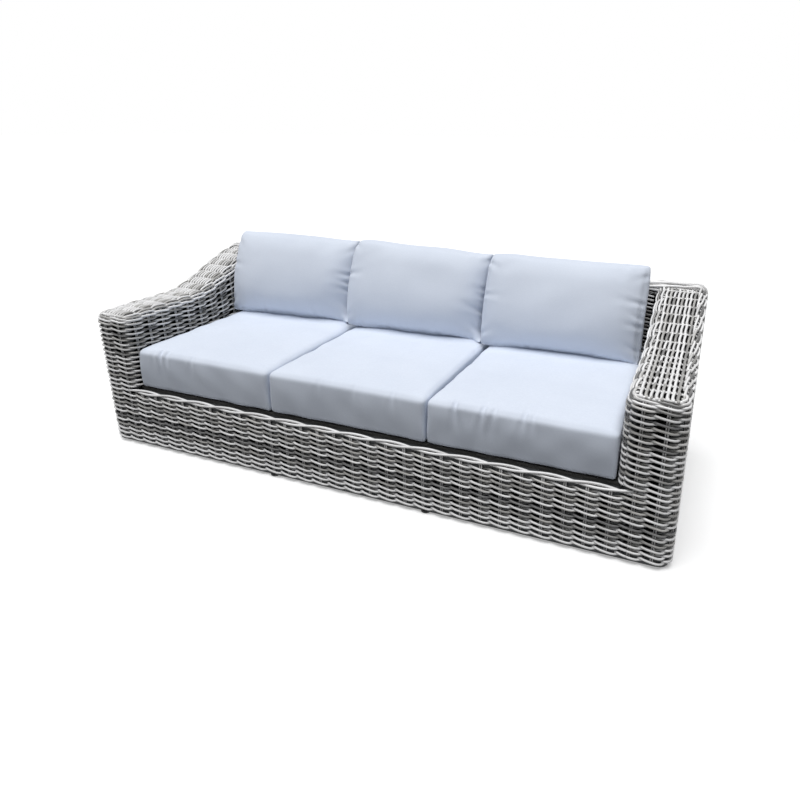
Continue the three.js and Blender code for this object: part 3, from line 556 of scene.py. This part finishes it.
def stakes():
    """Stakes up the walls, on the inner face of the back and across the arms' tops."""
    for column in range(COLUMN_COUNT // 2):
        for side in (-1, 1):
            s = side * (column + 0.5) * COLUMN
            (x, y), = lower.at(np.array([s]))[0]
            if y > BACK_FACE_Y:
                wall_stake(lower, s, LOWEST_ROW_Z, BACK_TOP_Z - ROLL_RADIUS, 0, BACK)
            elif abs(x) > LEDGE_END_X:
                turn = FRONT_STAKE_TURN if y < FRONT_Y + CORNER_RADIUS else math.pi / 2
                wall_stake(lower, s, LOWEST_ROW_Z, arm_top(y) - SHOULDER_RADIUS, turn)
            else:
                wall_stake(lower, s, LOWEST_ROW_Z, DECK_Z - STAKE_INSET, 0, FRONT)
    front_end = lower.length - LEDGE_END_X
    for column in range(int(front_end / COLUMN), int(upper.length / COLUMN)):
        for side, region in ((-1, RIGHT_ARM), (1, LEFT_ARM)):
            s = side * (column + 0.5) * COLUMN
            if front_end < abs(s) < upper.length:
                (_, y), = upper.at(np.array([s]))[0]
                wall_stake(upper, s, DECK_Z, arm_top(y) - SHOULDER_RADIUS, math.pi / 2, region)
    heights = np.linspace(DECK_Z, BACK_TOP_Z - ROLL_RADIUS, FACE_STAKE_POINTS)
    for column in range(int(ARM_INNER_X / COLUMN)):
        for side in (-1, 1):
            path = triples(side * (column + 0.5) * COLUMN, BACK_FACE_Y + STAKE_INSET, heights)
            stake_pair(path, (0.0, -1.0, 0.0), (1.0, 0.0, 0.0), BACK)
    half = (HALF_WIDTH - ARM_INNER_X) / 2 - SHOULDER_RADIUS + TOP_STAKE_OVERLAP
    across_top = np.linspace(-half, half, STAKE_POINTS)
    pitch = TOP_COLUMN_SHARE * COLUMN
    for y in np.arange(math.ceil((FRONT_Y + SHOULDER_RADIUS) / pitch) * pitch, BACK_FACE_Y, pitch):
        for side, region in ((-1, LEFT_ARM), (1, RIGHT_ARM)):
            path = triples(across_top + side * ARM_MIDDLE_X, y, arm_top(y) - STAKE_INSET)
            stake_pair(path, (0.0, 0.0, 1.0), (0.0, 1.0, 0.0), region)


# Painted shade: the unlit inside, as a thin dark sheet close behind the rods

def shade_sheet_wall(outline, s, foot, head):
    """A grid of points up a wall, from a foot to a head height at each place along it."""
    shares = np.linspace(0, 1, SHADE_SHEET_ROWS)[:, None]
    return triples(*outline.at(s)[0].T, foot + (head - foot) * shares)


def arm_shade_sheets():
    """Dark sheets of painted shade behind each arm: its sides, shoulders and top, and the wall under them."""
    inner = Outline(SHADE_SHEET_INSET, upper=True)
    base = Outline(SHADE_SHEET_INSET, upper=False)
    front = base.length - (LEDGE_END_X - 0.01)
    half = (HALF_WIDTH - ARM_INNER_X) / 2
    for way, side in ((1, "left"), (-1, "right")):
        s = way * np.linspace(inner.distance_to(BACK_FACE_Y), inner.length, ARM_SHADE_SHEET_COLUMNS)
        xy, normals = inner.at(s)
        top = arm_top(xy[:, 1]) - SHADE_SHEET_INSET
        wall = shade_sheet_wall(inner, s, DECK_Z - 0.02, top - 0.012)
        shoulder = triples(*(xy - 0.006 * normals).T, top - 0.002)
        middle_y = np.clip(xy[:, 1], FRONT_Y + half, BACK_FACE_Y)
        middle = triples(-way * ARM_MIDDLE_X, middle_y, arm_top(middle_y) - SHADE_SHEET_INSET)
        between = shoulder + (middle - shoulder) * 0.5
        between[:, 2] = arm_top(between[:, 1]) - SHADE_SHEET_INSET
        yield "lining_arm_" + side, np.concatenate((wall, [shoulder, between, middle]))[:, ::way]
        s = way * np.linspace(base.distance_to(BACK_FACE_Y), front, SHADE_SHEET_COLUMNS)
        yield "lining_arm_base_" + side, shade_sheet_wall(base, s, SHADE_SHEET_FOOT_Z, DECK_Z - 0.01)[:, ::way]


def front_shade_sheet():
    """A dark sheet of painted shade up the front wall and back under the ledge."""
    x = np.linspace(-LEDGE_END_X, LEDGE_END_X, SHADE_SHEET_COLUMNS)
    wall_y = FRONT_Y + SHADE_SHEET_INSET
    section = ((wall_y, SHADE_SHEET_FOOT_Z), (wall_y, DECK_Z - 0.04), (wall_y, DECK_Z - 0.017),
               (wall_y + 0.004, DECK_Z - 0.014), (FRONT_Y + LEDGE_DEPTH + 0.004, DECK_Z - 0.013))
    return "lining_front", np.stack([triples(x, y, z) for y, z in section])


def back_shade_sheet():
    """An upright dark sheet of painted shade in the middle of the back."""
    x = np.linspace(-HALF_WIDTH + BACK_END_RADIUS, HALF_WIDTH - BACK_END_RADIUS, SHADE_SHEET_COLUMNS)
    heights = (SHADE_SHEET_FOOT_Z, DECK_Z, BACK_TOP_Z - 0.02)
    return "lining_back", np.stack([triples(x, (BACK_FACE_Y + REAR_Y) / 2, z) for z in heights])


# Cushions

FILL_FRAMES = 20
FILL_PRESSURE = 4.0
X_AXIS, Y_AXIS, Z_AXIS = range(3)

# Seat cushions, whose edges round off more towards the top
SEAT_CELLS = (60, 72, 18)
SEAT_FOOT_RADIUS, SEAT_RADIUS_GAIN = 0.010, 0.012
SEAT_CROWN = 0.013
SEAT_SIDE_DRAW = 0.005
SEAT_FRONT_FULLNESS, SEAT_FRONT_DRAW = 0.007, 0.003
SEAT_EDGE = 0.93
SEAT_FILL_CAP = 0.009
SEAT_FILL_SHARE = 0.30
SEAT_PLAY = 0.0015
SEAT_GAP = 0.0002
SEAT_PUCKER_WIDTH = 0.0095
SEAT_PUCKER_SCALE = 1.2

# Each seat cushion: node, seed, and puckers by their place along the front edge as a share of half its
# width, length and depth
SEAT_CUSHIONS = (
    ("seat_cushion_left", 11,
     ((-0.72, 0.07, 0.003), (-0.62, 0.11, 0.006), (-0.52, 0.09, 0.004), (-0.12, 0.08, 0.003))),
    ("seat_cushion_middle", 23, ((-0.30, 0.06, 0.002), (0.15, 0.07, 0.002), (0.62, 0.08, 0.003))),
    ("seat_cushion_right", 35,
     ((-0.68, 0.10, 0.006), (-0.36, 0.12, 0.005), (-0.24, 0.10, 0.004), (0.07, 0.09, 0.004),
      (0.16, 0.07, 0.003))))

# Back cushions
PILLOW_WIDTH, PILLOW_DEPTH, PILLOW_HEIGHT = 0.640, 0.192, 0.388
PILLOW_CELLS = (60, 6, 38)
PILLOW_EDGE = 0.060
PILLOW_EDGE_DRAW = 0.004
PILLOW_PANEL_PRESS = 0.014
PILLOW_FOOT_BACK = 0.020
PILLOW_BULGE = 0.014
PILLOW_EAR = 0.012
PILLOW_FILL_CAP = 0.007
PILLOW_LEAN = math.radians(23)
PILLOW_GAP = 0.001
SEAM_DEPTH = 0.0035
PILLOW_PUCKER_WIDTH = 0.011

# Each back cushion: node, seed, middle and limits in X, rise, tilt and turn in degrees, how far its
# right side is pressed back and how far its left side stands forward
BACK_CUSHIONS = (
    ("back_cushion_left", 41, -0.660, (-0.9600, -0.3365), -0.001, 0.3, 2.2, 0.062, 0.0),
    ("back_cushion_middle", 53, -0.017, (-0.3360, 0.3000), -0.006, 0.8, 0.4, 0.062, 0.030),
    ("back_cushion_right", 67, 0.618, (0.3005, 0.9600), -0.015, 0.0, 0.0, 0.0, 0.030))

# Puckers at a back cushion's right and left edges, then at its top and bottom ones: places along the two
# edges, their spread, the slant and its spread, lengths and depths
PILLOW_PUCKERS = (
    (((-0.72, -0.28, -0.05, 0.16, 0.80), (-0.78, 0.10, 0.82)), 0.06, 0.7, 0.25,
     (0.08, 0.15), (0.0025, 0.0045)),
    (((0.80,), (-0.80, -0.35, 0.45, 0.84)), 0.05, 0.6, 0.20, (0.05, 0.10), (0.002, 0.004)))


def box_lattice(counts):
    """Points over a cube from -1 to 1, shared between its faces, and the quads between them."""
    index, points, quads = {}, [], []

    def point_at(key):
        if key not in index:
            index[key] = len(points)
            points.append([2 * part / count - 1 for part, count in zip(key, counts)])
        return index[key]

    for axis in range(3):
        first, second = (axis + 1) % 3, (axis + 2) % 3
        for end in (0, counts[axis]):
            for i in range(counts[first]):
                for j in range(counts[second]):
                    quad = []
                    for step_i, step_j in ((0, 0), (1, 0), (1, 1), (0, 1)):
                        key = [0, 0, 0]
                        key[axis], key[first], key[second] = end, i + step_i, j + step_j
                        quad.append(point_at(tuple(key)))
                    quads.append(quad if end else quad[::-1])
    return np.array(points), np.array(quads)


def vectors(collection, key):
    """A property with three numbers for each vertex, as an array."""
    values = np.empty(len(collection) * 3, np.float32)
    collection.foreach_get(key, values)
    return values.reshape(-1, 3).astype(float)


def mesh_points(piece):
    return vectors(piece.data.vertices, "co")


def set_points(piece, points):
    piece.data.vertices.foreach_set("co", np.asarray(points, np.float32).reshape(-1))
    piece.data.update()


def fill(piece, seam, gather, stiffness, cap, share):
    """Swells the cover with cloth simulation, as far as the cap, while its seams shrink.

    The share says how much of its movement each point keeps."""
    start = mesh_points(piece)
    group = piece.vertex_groups.new(name="seams")
    group.add(np.flatnonzero(seam).tolist(), 1.0, "REPLACE")
    cloth = piece.modifiers.new("fill", "CLOTH")
    settings = cloth.settings
    settings.quality = 5
    settings.mass = 0.25
    settings.tension_stiffness = 20
    settings.compression_stiffness = 12
    settings.shear_stiffness = 8
    settings.bending_stiffness = stiffness
    settings.use_pressure = True
    settings.uniform_pressure_force = FILL_PRESSURE
    settings.vertex_group_shrink = group.name
    settings.shrink_min = 0.0
    settings.shrink_max = gather
    settings.effector_weights.gravity = 0
    scene.frame_start, scene.frame_end = 1, FILL_FRAMES
    cloth.point_cache.frame_start, cloth.point_cache.frame_end = 1, FILL_FRAMES
    for number in range(1, FILL_FRAMES + 1):
        scene.frame_set(number)
    filled = piece.evaluated_get(bpy.context.evaluated_depsgraph_get()).data
    moved = vectors(filled.vertices, "co") - start
    reach = np.linalg.norm(moved, axis=1, keepdims=True)
    moved *= np.tanh(reach / cap) * cap / np.maximum(reach, 1e-9) * np.reshape(share, (-1, 1))
    piece.modifiers.remove(cloth)
    scene.frame_set(1)
    set_points(piece, start + moved)


def fit(piece, low, high):
    """Brings the filled cover back to the size that the cushion has."""
    points = mesh_points(piece)
    now_low, now_high = points.min(axis=0), points.max(axis=0)
    set_points(piece, low + (points - now_low) * (high - low) / (now_high - now_low))


def smooth_waves(points, size, length, seed):
    """A slow random unevenness through space."""
    draws = np.random.default_rng(seed)
    value = np.zeros(len(points))
    for _ in range(6):
        way = draws.normal(size=3)
        way *= draws.uniform(0.6, 1.4) * 2 * math.pi / (length * np.linalg.norm(way))
        value += np.sin(points @ way + draws.uniform(0, 2 * math.pi))
    return size * value / 3


def pucker(piece, start, way, length, width, depth, axis):
    """Presses a short groove into the cover, from a seam inwards, on the panel that faces along the axis."""
    points = mesh_points(piece)
    normals = vectors(piece.data.vertex_normals, "vector")
    way = np.array(way, float)
    way[axis] = 0
    way /= np.linalg.norm(way)
    away = points - start
    away[:, axis] = 0
    along = away @ way
    share = np.clip(along / length, 0, 1)
    spread = width * (0.7 + 0.9 * share)
    aside = np.linalg.norm(away - along[:, None] * way, axis=1) / spread
    run = np.sqrt(np.clip(along / width, 0, 1)) * (1 - share) ** 1.4
    groove = np.exp(-aside ** 2) - 0.5 * np.exp(-(aside - 1.9) ** 2)
    facing = smoothstep(normals[:, axis] * np.sign(start[axis]), 0.05, 0.35)
    points -= normals * (depth * run * groove * facing)[:, None]
    set_points(piece, points)


def subdivided(piece):
    modifier = piece.modifiers.new("smooth", "SUBSURF")
    modifier.levels = modifier.render_levels = 1
    with bpy.context.temp_override(object=piece, active_object=piece, selected_objects=[piece]):
        bpy.ops.object.modifier_apply(modifier=modifier.name)


def seat_cushion(node, seed, puckers):
    """A boxed cushion: flat under and where it meets its neighbours, crowned on top, gathered in front."""
    low, high = [np.array(corner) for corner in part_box(node)]
    half = (high - low) / 2
    lattice, quads = box_lattice(SEAT_CELLS)
    u, v, w = lattice.T
    radius = (SEAT_FOOT_RADIUS + SEAT_RADIUS_GAIN * smoothstep(w, -0.9, 0.3))[:, None]
    core = np.clip(lattice * half, -(half - radius), half - radius)
    away = lattice * half - core
    lengths = np.linalg.norm(away, axis=1, keepdims=True)
    points = core + away * radius / np.maximum(lengths, radius)
    edge_drop = SEAT_CROWN * (1 - (1 - u ** 4) * (1 - v ** 4))
    points[:, 2] -= np.clip(w, 0, 1) * edge_drop
    points[:, 0] -= np.sign(u) * SEAT_SIDE_DRAW * (1 - v ** 2) * np.abs(u) ** 4
    fullness = SEAT_FRONT_FULLNESS * (1 - w ** 2) - SEAT_FRONT_DRAW * (1 - u ** 2)
    points[:, 1] += np.sign(v) * fullness * np.abs(v) ** 4
    points += (lattice / np.linalg.norm(lattice, axis=1, keepdims=True)
               * smooth_waves(points, size=0.0018, length=0.12, seed=seed)[:, None])
    piece = mesh_object("cover_" + node, points, quads)
    edge = (np.abs(lattice) > SEAT_EDGE).sum(axis=1) >= 2
    fill(piece, edge, gather=0.05, stiffness=0.3, cap=SEAT_FILL_CAP, share=SEAT_FILL_SHARE)
    play = np.array([SEAT_PLAY, 0, 0])
    fit(piece, play - half, half - play)
    subdivided(piece)
    for place, length, depth in puckers:
        seam = np.array([place * half[0], -half[1], half[2] - SEAT_CROWN])
        pucker(piece, seam + (0, 0, 0.006), (rng.uniform(-0.15, 0.15), 0, -1), length * SEAT_PUCKER_SCALE,
               SEAT_PUCKER_WIDTH, depth * SEAT_PUCKER_SCALE, Y_AXIS)
        pucker(piece, seam - (0, 0.004, 0), (rng.uniform(-0.3, 0.3), 1, 0), length / 2,
               SEAT_PUCKER_WIDTH, depth / 2, Z_AXIS)
    points = mesh_points(piece) + (high + low) / 2
    points[:, 2] = np.maximum(points[:, 2], low[2] + SEAT_GAP)
    set_points(piece, points)
    return piece


def pillow_puckers(piece, half, seed):
    """Puckers that run inwards from the edges of a back cushion's front panel."""
    draws = np.random.default_rng(seed)
    for along, (edges, spread, slant, slant_spread, lengths, depths) in zip((Z_AXIS, X_AXIS), PILLOW_PUCKERS):
        across = X_AXIS if along == Z_AXIS else Z_AXIS
        for side, places in zip((1, -1), edges):
            for place in places:
                start, way = np.array([0.0, -half[1], 0.0]), np.zeros(3)
                start[across] = side * half[across] * 0.99
                start[along] = (place + draws.uniform(-spread, spread)) * half[along]
                way[across] = -side
                way[along] = -slant * place + draws.uniform(-slant_spread, slant_spread)
                pucker(piece, start, way, draws.uniform(*lengths), PILLOW_PUCKER_WIDTH,
                       draws.uniform(*depths), Y_AXIS)


def back_cushion(node, seed, centre_x, limits, rise, tilt, turn, right_back, left_forward):
    """A pillow of two panels with a narrow strip between them, leaning on the back.

    Its right side is pressed back behind the next pillow, whose left side stands forward."""
    low, high = [np.array(corner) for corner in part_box(node)]
    half = np.array([PILLOW_WIDTH, PILLOW_DEPTH, PILLOW_HEIGHT]) / 2
    lattice, quads = box_lattice(PILLOW_CELLS)
    u, v, w = lattice.T
    width = half[0] - PILLOW_EDGE_DRAW * (1 - w ** 2)
    height = half[2] - PILLOW_EDGE_DRAW * (1 - u ** 2)
    belly = np.clip((1 - np.abs(u) ** 2.8) * (1 - np.abs(w) ** 2.0), 0, 1) ** 0.60
    at_side, panel, at_end = np.abs(lattice.T) == 1
    ear = (np.abs(u) * np.abs(w)) ** 5
    edge_half = PILLOW_EDGE / 2 * (1 - 0.8 * ear)
    rightward = smoothstep(u, 0.25, 1.0)
    leftward = smoothstep(-u, 0.2, 1.0)
    downward = smoothstep(-w, 0.0, 1.0)
    shift = (right_back * rightward - left_forward * leftward + PILLOW_FOOT_BACK * downward) * (1 - ear)
    shift = np.minimum(shift, half[1] - edge_half)
    front = edge_half - PILLOW_PANEL_PRESS * np.maximum(rightward * (right_back > 0), downward) - shift
    rear = edge_half + shift
    rim = np.where(v < 0, front, rear)
    depth = np.where(panel, np.sign(v) * (rim + (half[1] - rim) * belly),
                     (rear - front) / 2 + v * (rear + front) / 2)
    bulge = np.where(panel, 0, PILLOW_BULGE * (1 - v ** 2) * (1 - ear))
    reach = 1 + PILLOW_EAR * ear
    points = np.column_stack((u * width * reach, depth, w * height * reach))
    points[:, 0] += np.where(at_side, np.sign(u) * bulge, 0)
    points[:, 2] += np.where(at_end, np.sign(w) * bulge, 0)
    points[:, 1] += smooth_waves(points, size=0.0030, length=0.20, seed=seed) * belly * np.sign(v)
    points[:, 2] += smooth_waves(points, size=0.0018, length=0.35, seed=seed + 1)
    piece = mesh_object("cover_" + node, points, quads)
    seam = panel & (at_side | at_end)
    inner = smoothstep(1 - np.abs(u), 0, 0.5) * smoothstep(1 - np.abs(w), 0, 0.7)
    fill(piece, seam, gather=0.12, stiffness=0.25, cap=PILLOW_FILL_CAP, share=0.18 + 0.82 * (1 - inner))
    points = mesh_points(piece)
    points[seam] -= np.sign(points[seam]) * np.array([SEAM_DEPTH, 0, SEAM_DEPTH])
    set_points(piece, points)
    fit(piece, -half, half)
    subdivided(piece)
    pillow_puckers(piece, half, seed)
    points = mesh_points(piece)
    middle = np.abs(points[:, 0]) < 0.25 * half[0]
    pose = (Matrix.Rotation(math.radians(turn), 3, "Z") @ Matrix.Rotation(-PILLOW_LEAN, 3, "X")
            @ Matrix.Rotation(math.radians(tilt), 3, "Y"))
    points = points @ np.array(pose).T
    points += np.array([centre_x, (low[1] + high[1]) / 2, 0])
    points[:, 2] += low[2] - points[middle, 2].min() + rise
    points[:, 2] = np.maximum(points[:, 2], low[2] + PILLOW_GAP)
    points[:, 0] = np.clip(points[:, 0], *limits)
    points[:, 1] = np.minimum(points[:, 1], BACK_FACE_Y - PILLOW_GAP)
    set_points(piece, points)
    return piece


# Materials

def set_inputs(node, values):
    for key, value in values.items():
        node.inputs[key].default_value = value


class Nodes:
    """A short way to write a shader's nodes and links."""

    def __init__(self, name):
        self.material = bpy.data.materials.new(name)
        self.material.use_nodes = True
        self.tree = self.material.node_tree
        self.shader = self.tree.nodes["Principled BSDF"]

    def add(self, kind, **settings):
        node = self.tree.nodes.new(kind)
        for key, value in settings.items():
            if key in node.inputs:
                node.inputs[key].default_value = value
            else:
                setattr(node, key, value)
        return node

    def link(self, output, socket):
        self.tree.links.new(output, socket)

    def place(self):
        return self.add("ShaderNodeTexCoord").outputs["Object"]

    def paint(self, value, stops):
        """Colours the surface by a ramp over a value."""
        self.link(self.ramp(value, stops), self.shader.inputs["Base Color"])

    def ramp(self, value, stops):
        node = self.add("ShaderNodeValToRGB")
        elements = node.color_ramp.elements
        while len(elements) < len(stops):
            elements.new(0.5)
        for element, (position, color) in zip(elements, stops):
            element.position = position
            element.color = (*color, 1)
        self.link(value, node.inputs["Fac"])
        return node.outputs["Color"]

    def noise(self, vector, scale, detail=3.0, roughness=0.5):
        node = self.add("ShaderNodeTexNoise", Scale=scale, Detail=detail, Roughness=roughness)
        self.link(vector, node.inputs["Vector"])
        return node.outputs["Fac"]

    def stretched(self, vector, scale):
        node = self.add("ShaderNodeMapping", Scale=scale)
        self.link(vector, node.inputs["Vector"])
        return node.outputs["Vector"]

    def math(self, operation, a, b):
        node = self.add("ShaderNodeMath", operation=operation)
        for socket, value in zip(node.inputs, (a, b)):
            if isinstance(value, float):
                socket.default_value = value
            else:
                self.link(value, socket)
        return node.outputs["Value"]

    def bump(self, height, strength, distance):
        node = self.add("ShaderNodeBump", Strength=strength, Distance=distance)
        self.link(height, node.inputs["Height"])
        self.link(node.outputs["Normal"], self.shader.inputs["Normal"])

    def finish(self, roughness, specular=0.5):
        set_inputs(self.shader, {"Roughness": roughness, "Specular IOR Level": specular})
        return self.material


def rattan_material():
    nodes = Nodes("rattan")
    # The tone attribute is each strand's own tone plus painted shade where it passes behind a stake
    tone = nodes.add("ShaderNodeAttribute", attribute_name="tone").outputs["Fac"]
    place = nodes.add("ShaderNodeAttribute", attribute_name="place").outputs["Vector"]
    streaks = nodes.noise(nodes.stretched(place, (14.0, 2.4, 2.4)), 1.0, 4.0, 0.65)
    patches = nodes.noise(nodes.stretched(place, (6.0, 0.5, 0.5)), 1.0, 2.0)
    value = nodes.math("ADD", tone, nodes.math("MULTIPLY", nodes.math("SUBTRACT", streaks, 0.5), 0.7))
    value = nodes.math("ADD", value, nodes.math("MULTIPLY", nodes.math("SUBTRACT", patches, 0.5), 0.7))
    nodes.paint(value, [
        (0.0, (0.08, 0.08, 0.085)), (0.25, (0.20, 0.198, 0.195)), (0.5, (0.46, 0.45, 0.43)),
        (0.70, (0.77, 0.765, 0.765)), (1.0, (0.96, 0.955, 0.955))])
    grooves = nodes.noise(nodes.stretched(place, (40.0, 5.0, 5.0)), 1.0, 3.0)
    nodes.bump(grooves, 0.35, 0.0006)
    return nodes.finish(0.34, 0.6)


def fabric_material():
    nodes = Nodes("cushion_fabric")
    place = nodes.place()
    warp = nodes.noise(nodes.stretched(place, (900.0, 900.0, 120.0)), 1.0, 2.0)
    weft = nodes.noise(nodes.stretched(place, (120.0, 120.0, 900.0)), 1.0, 2.0)
    thread = nodes.math("ADD", warp, weft)
    cloud = nodes.noise(place, 5.0, 3.0)
    value = nodes.math("ADD", nodes.math("MULTIPLY", thread, 0.35), nodes.math("MULTIPLY", cloud, 0.4))
    nodes.paint(value, [(0.35, (0.675, 0.73, 0.835)), (0.75, (0.755, 0.81, 0.91))])
    nodes.bump(thread, 0.25, 0.0005)
    set_inputs(nodes.shader, {"Sheen Weight": 0.15, "Sheen Roughness": 0.5})
    return nodes.finish(0.9, 0.15)


def plain_material(name, cloud, stops, grain, bump, roughness, specular=0.5):
    """A material clouded by one noise and grained by another, each given by its scale and detail."""
    nodes = Nodes(name)
    nodes.paint(nodes.noise(nodes.place(), *cloud), stops)
    nodes.bump(nodes.noise(nodes.place(), *grain), *bump)
    return nodes.finish(roughness, specular)


def deck_material():
    """Flat straps woven over and under, under the cushions."""
    nodes = Nodes("deck_weave")
    place = nodes.place()
    checks = nodes.add("ShaderNodeTexChecker", Scale=28.0)
    nodes.link(place, checks.inputs["Vector"])
    grain = nodes.noise(place, 160.0, 3.0)
    nodes.paint(nodes.math("ADD", nodes.math("MULTIPLY", checks.outputs["Fac"], 0.3), grain), [
        (0.3, (0.012, 0.012, 0.012)), (1.0, (0.060, 0.058, 0.055))])
    nodes.bump(grain, 0.3, 0.001)
    return nodes.finish(0.7)


rattan, fabric, deck = rattan_material(), fabric_material(), deck_material()
tube = plain_material("frame_tube", (14.0, 4.0),
                      [(0.35, (0.028, 0.030, 0.033)), (0.75, (0.055, 0.057, 0.060))],
                      (900.0, 2.0), (0.2, 0.0003), 0.5)
plastic = plain_material("glide_plastic", (220.0, 4.0),
                         [(0.4, (0.012, 0.012, 0.013)), (0.8, (0.035, 0.035, 0.036))],
                         (220.0, 4.0), (0.2, 0.0003), 0.55)
# Near black: painted shade for the unlit inside behind the rods
dark = plain_material("unlit_inside", (40.0, 3.0),
                      [(0.3, (0.006, 0.006, 0.0065)), (0.8, (0.016, 0.016, 0.017))],
                      (40.0, 3.0), (0.2, 0.0005), 0.95, 0.1)


# Build

lower_rows()
ledge_border()
upper_rows()
shoulder_rows()
top_rows()
back_rows()
back_band()
stakes()

for region, rod_set in rods.items():
    piece = rod_set.build("rods_" + region)
    piece.data.materials.append(rattan)
    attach(piece, "root")
    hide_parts(region)

# Dark sheets behind the rods, painted shade where the inside is unlit
for name, grid in (*arm_shade_sheets(), front_shade_sheet(), back_shade_sheet()):
    piece = thin_sheet(name, grid)
    piece.data.materials.append(dark)
    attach(piece, "root")

cushions = [(row[0], seat_cushion(*row)) for row in SEAT_CUSHIONS]
cushions += [(row[0], back_cushion(*row)) for row in BACK_CUSHIONS]
for node, piece in cushions:
    piece.data.materials.append(fabric)
    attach(piece, "root")
    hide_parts(node)

# Each frame node takes the first material whose word is in its name
node_materials = (("cushion", fabric), ("glide", plastic), ("deck", deck), ("", tube))
for name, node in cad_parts.items():
    material = next(material for word, material in node_materials if word in name)
    node.data.materials.clear()
    node.data.materials.append(material)


# Floor, light and camera

def mix_background(tree, lit, seen, surface):
    """Light meets the first shader. The camera, reflections and clear things see the second one."""
    path = tree.nodes.new("ShaderNodeLightPath")
    share = path.outputs["Is Camera Ray"]
    for name in ("Is Glossy Ray", "Is Transmission Ray"):
        larger = tree.nodes.new("ShaderNodeMath")
        larger.operation = "MAXIMUM"
        tree.links.new(share, larger.inputs[0])
        tree.links.new(path.outputs[name], larger.inputs[1])
        share = larger.outputs["Value"]
    mix = tree.nodes.new("ShaderNodeMixShader")
    for output, socket in zip((share, lit.outputs[0], seen.outputs[0]), mix.inputs):
        tree.links.new(output, socket)
    tree.links.new(mix.outputs["Shader"], surface)


def make_floor():
    """A white floor to the eye, which keeps the sofa's shadow; light that bounces sees a grey one."""
    corners = [(-60, -60, 0), (60, -60, 0), (60, 60, 0), (-60, 60, 0)]
    floor = mesh_object("floor", corners, [(0, 1, 2, 3)])
    nodes = Nodes("floor")
    grain = nodes.noise(nodes.place(), 3.0, 2.0)
    nodes.paint(grain, [(0.3, (0.80, 0.80, 0.80)), (0.7, (0.82, 0.82, 0.82))])
    set_inputs(nodes.shader, {"Emission Color": (1, 1, 1, 1), "Emission Strength": 0.34})
    nodes.finish(0.9, 0.0)
    plain = nodes.add("ShaderNodeBsdfDiffuse")
    grey = nodes.ramp(grain, [(0.3, (0.11, 0.11, 0.11)), (0.7, (0.13, 0.13, 0.13))])
    nodes.link(grey, plain.inputs["Color"])
    mix_background(nodes.tree, plain, nodes.shader, nodes.tree.nodes["Material Output"].inputs["Surface"])
    floor.data.materials.append(nodes.material)


def make_light():
    """One wide soft light from above, a little to the front."""
    data = bpy.data.lights.new("sky_light", "SUN")
    data.angle = math.radians(50)
    data.energy = 2.95
    lamp = bpy.data.objects.new("sky_light", data)
    lamp.rotation_euler = Vector((0.04, 0.19, -1.0)).to_track_quat("-Z", "Y").to_euler()
    scene.collection.objects.link(lamp)


def make_world():
    world = bpy.data.worlds.new("studio")
    scene.world = world
    world.use_nodes = True
    tree = world.node_tree
    ground = tree.nodes["Background"]
    set_inputs(ground, {"Color": (0.93, 0.96, 1.0, 1), "Strength": 0.15})
    seen = tree.nodes.new("ShaderNodeBackground")
    set_inputs(seen, {"Color": (1, 1, 1, 1), "Strength": 1.0})
    mix_background(tree, ground, seen, tree.nodes["World Output"].inputs["Surface"])


def make_camera():
    """The photo's own view, with the focal length and the centre of its frame in pixels."""
    frame_size = 800
    focal, centre_x, centre_y = 629.1065, 463.7144, 340.6929
    yaw, pitch, roll = 0.37854491, 0.33140186, 0.00628309
    ahead = Vector((-math.sin(yaw) * math.cos(pitch), math.cos(yaw) * math.cos(pitch), -math.sin(pitch)))
    level = ahead.cross(Vector((0, 0, 1))).normalized()
    above = level.cross(ahead)
    right = math.cos(roll) * level + math.sin(roll) * above
    up = math.cos(roll) * above - math.sin(roll) * level
    data = bpy.data.cameras.new("camera")
    data.sensor_width = 36
    data.lens = focal / frame_size * data.sensor_width
    data.shift_x = (frame_size / 2 - centre_x) / frame_size
    data.shift_y = (centre_y - frame_size / 2) / frame_size
    camera = bpy.data.objects.new("camera", data)
    turn = Matrix((right, up, -ahead)).transposed().to_4x4()
    camera.matrix_world = Matrix.Translation((1.1433758, -2.1288455, 1.2886527)) @ turn
    scene.collection.objects.link(camera)
    scene.camera = camera


make_floor()
make_world()
make_light()
make_camera()
scene.view_settings.view_transform = "Standard"
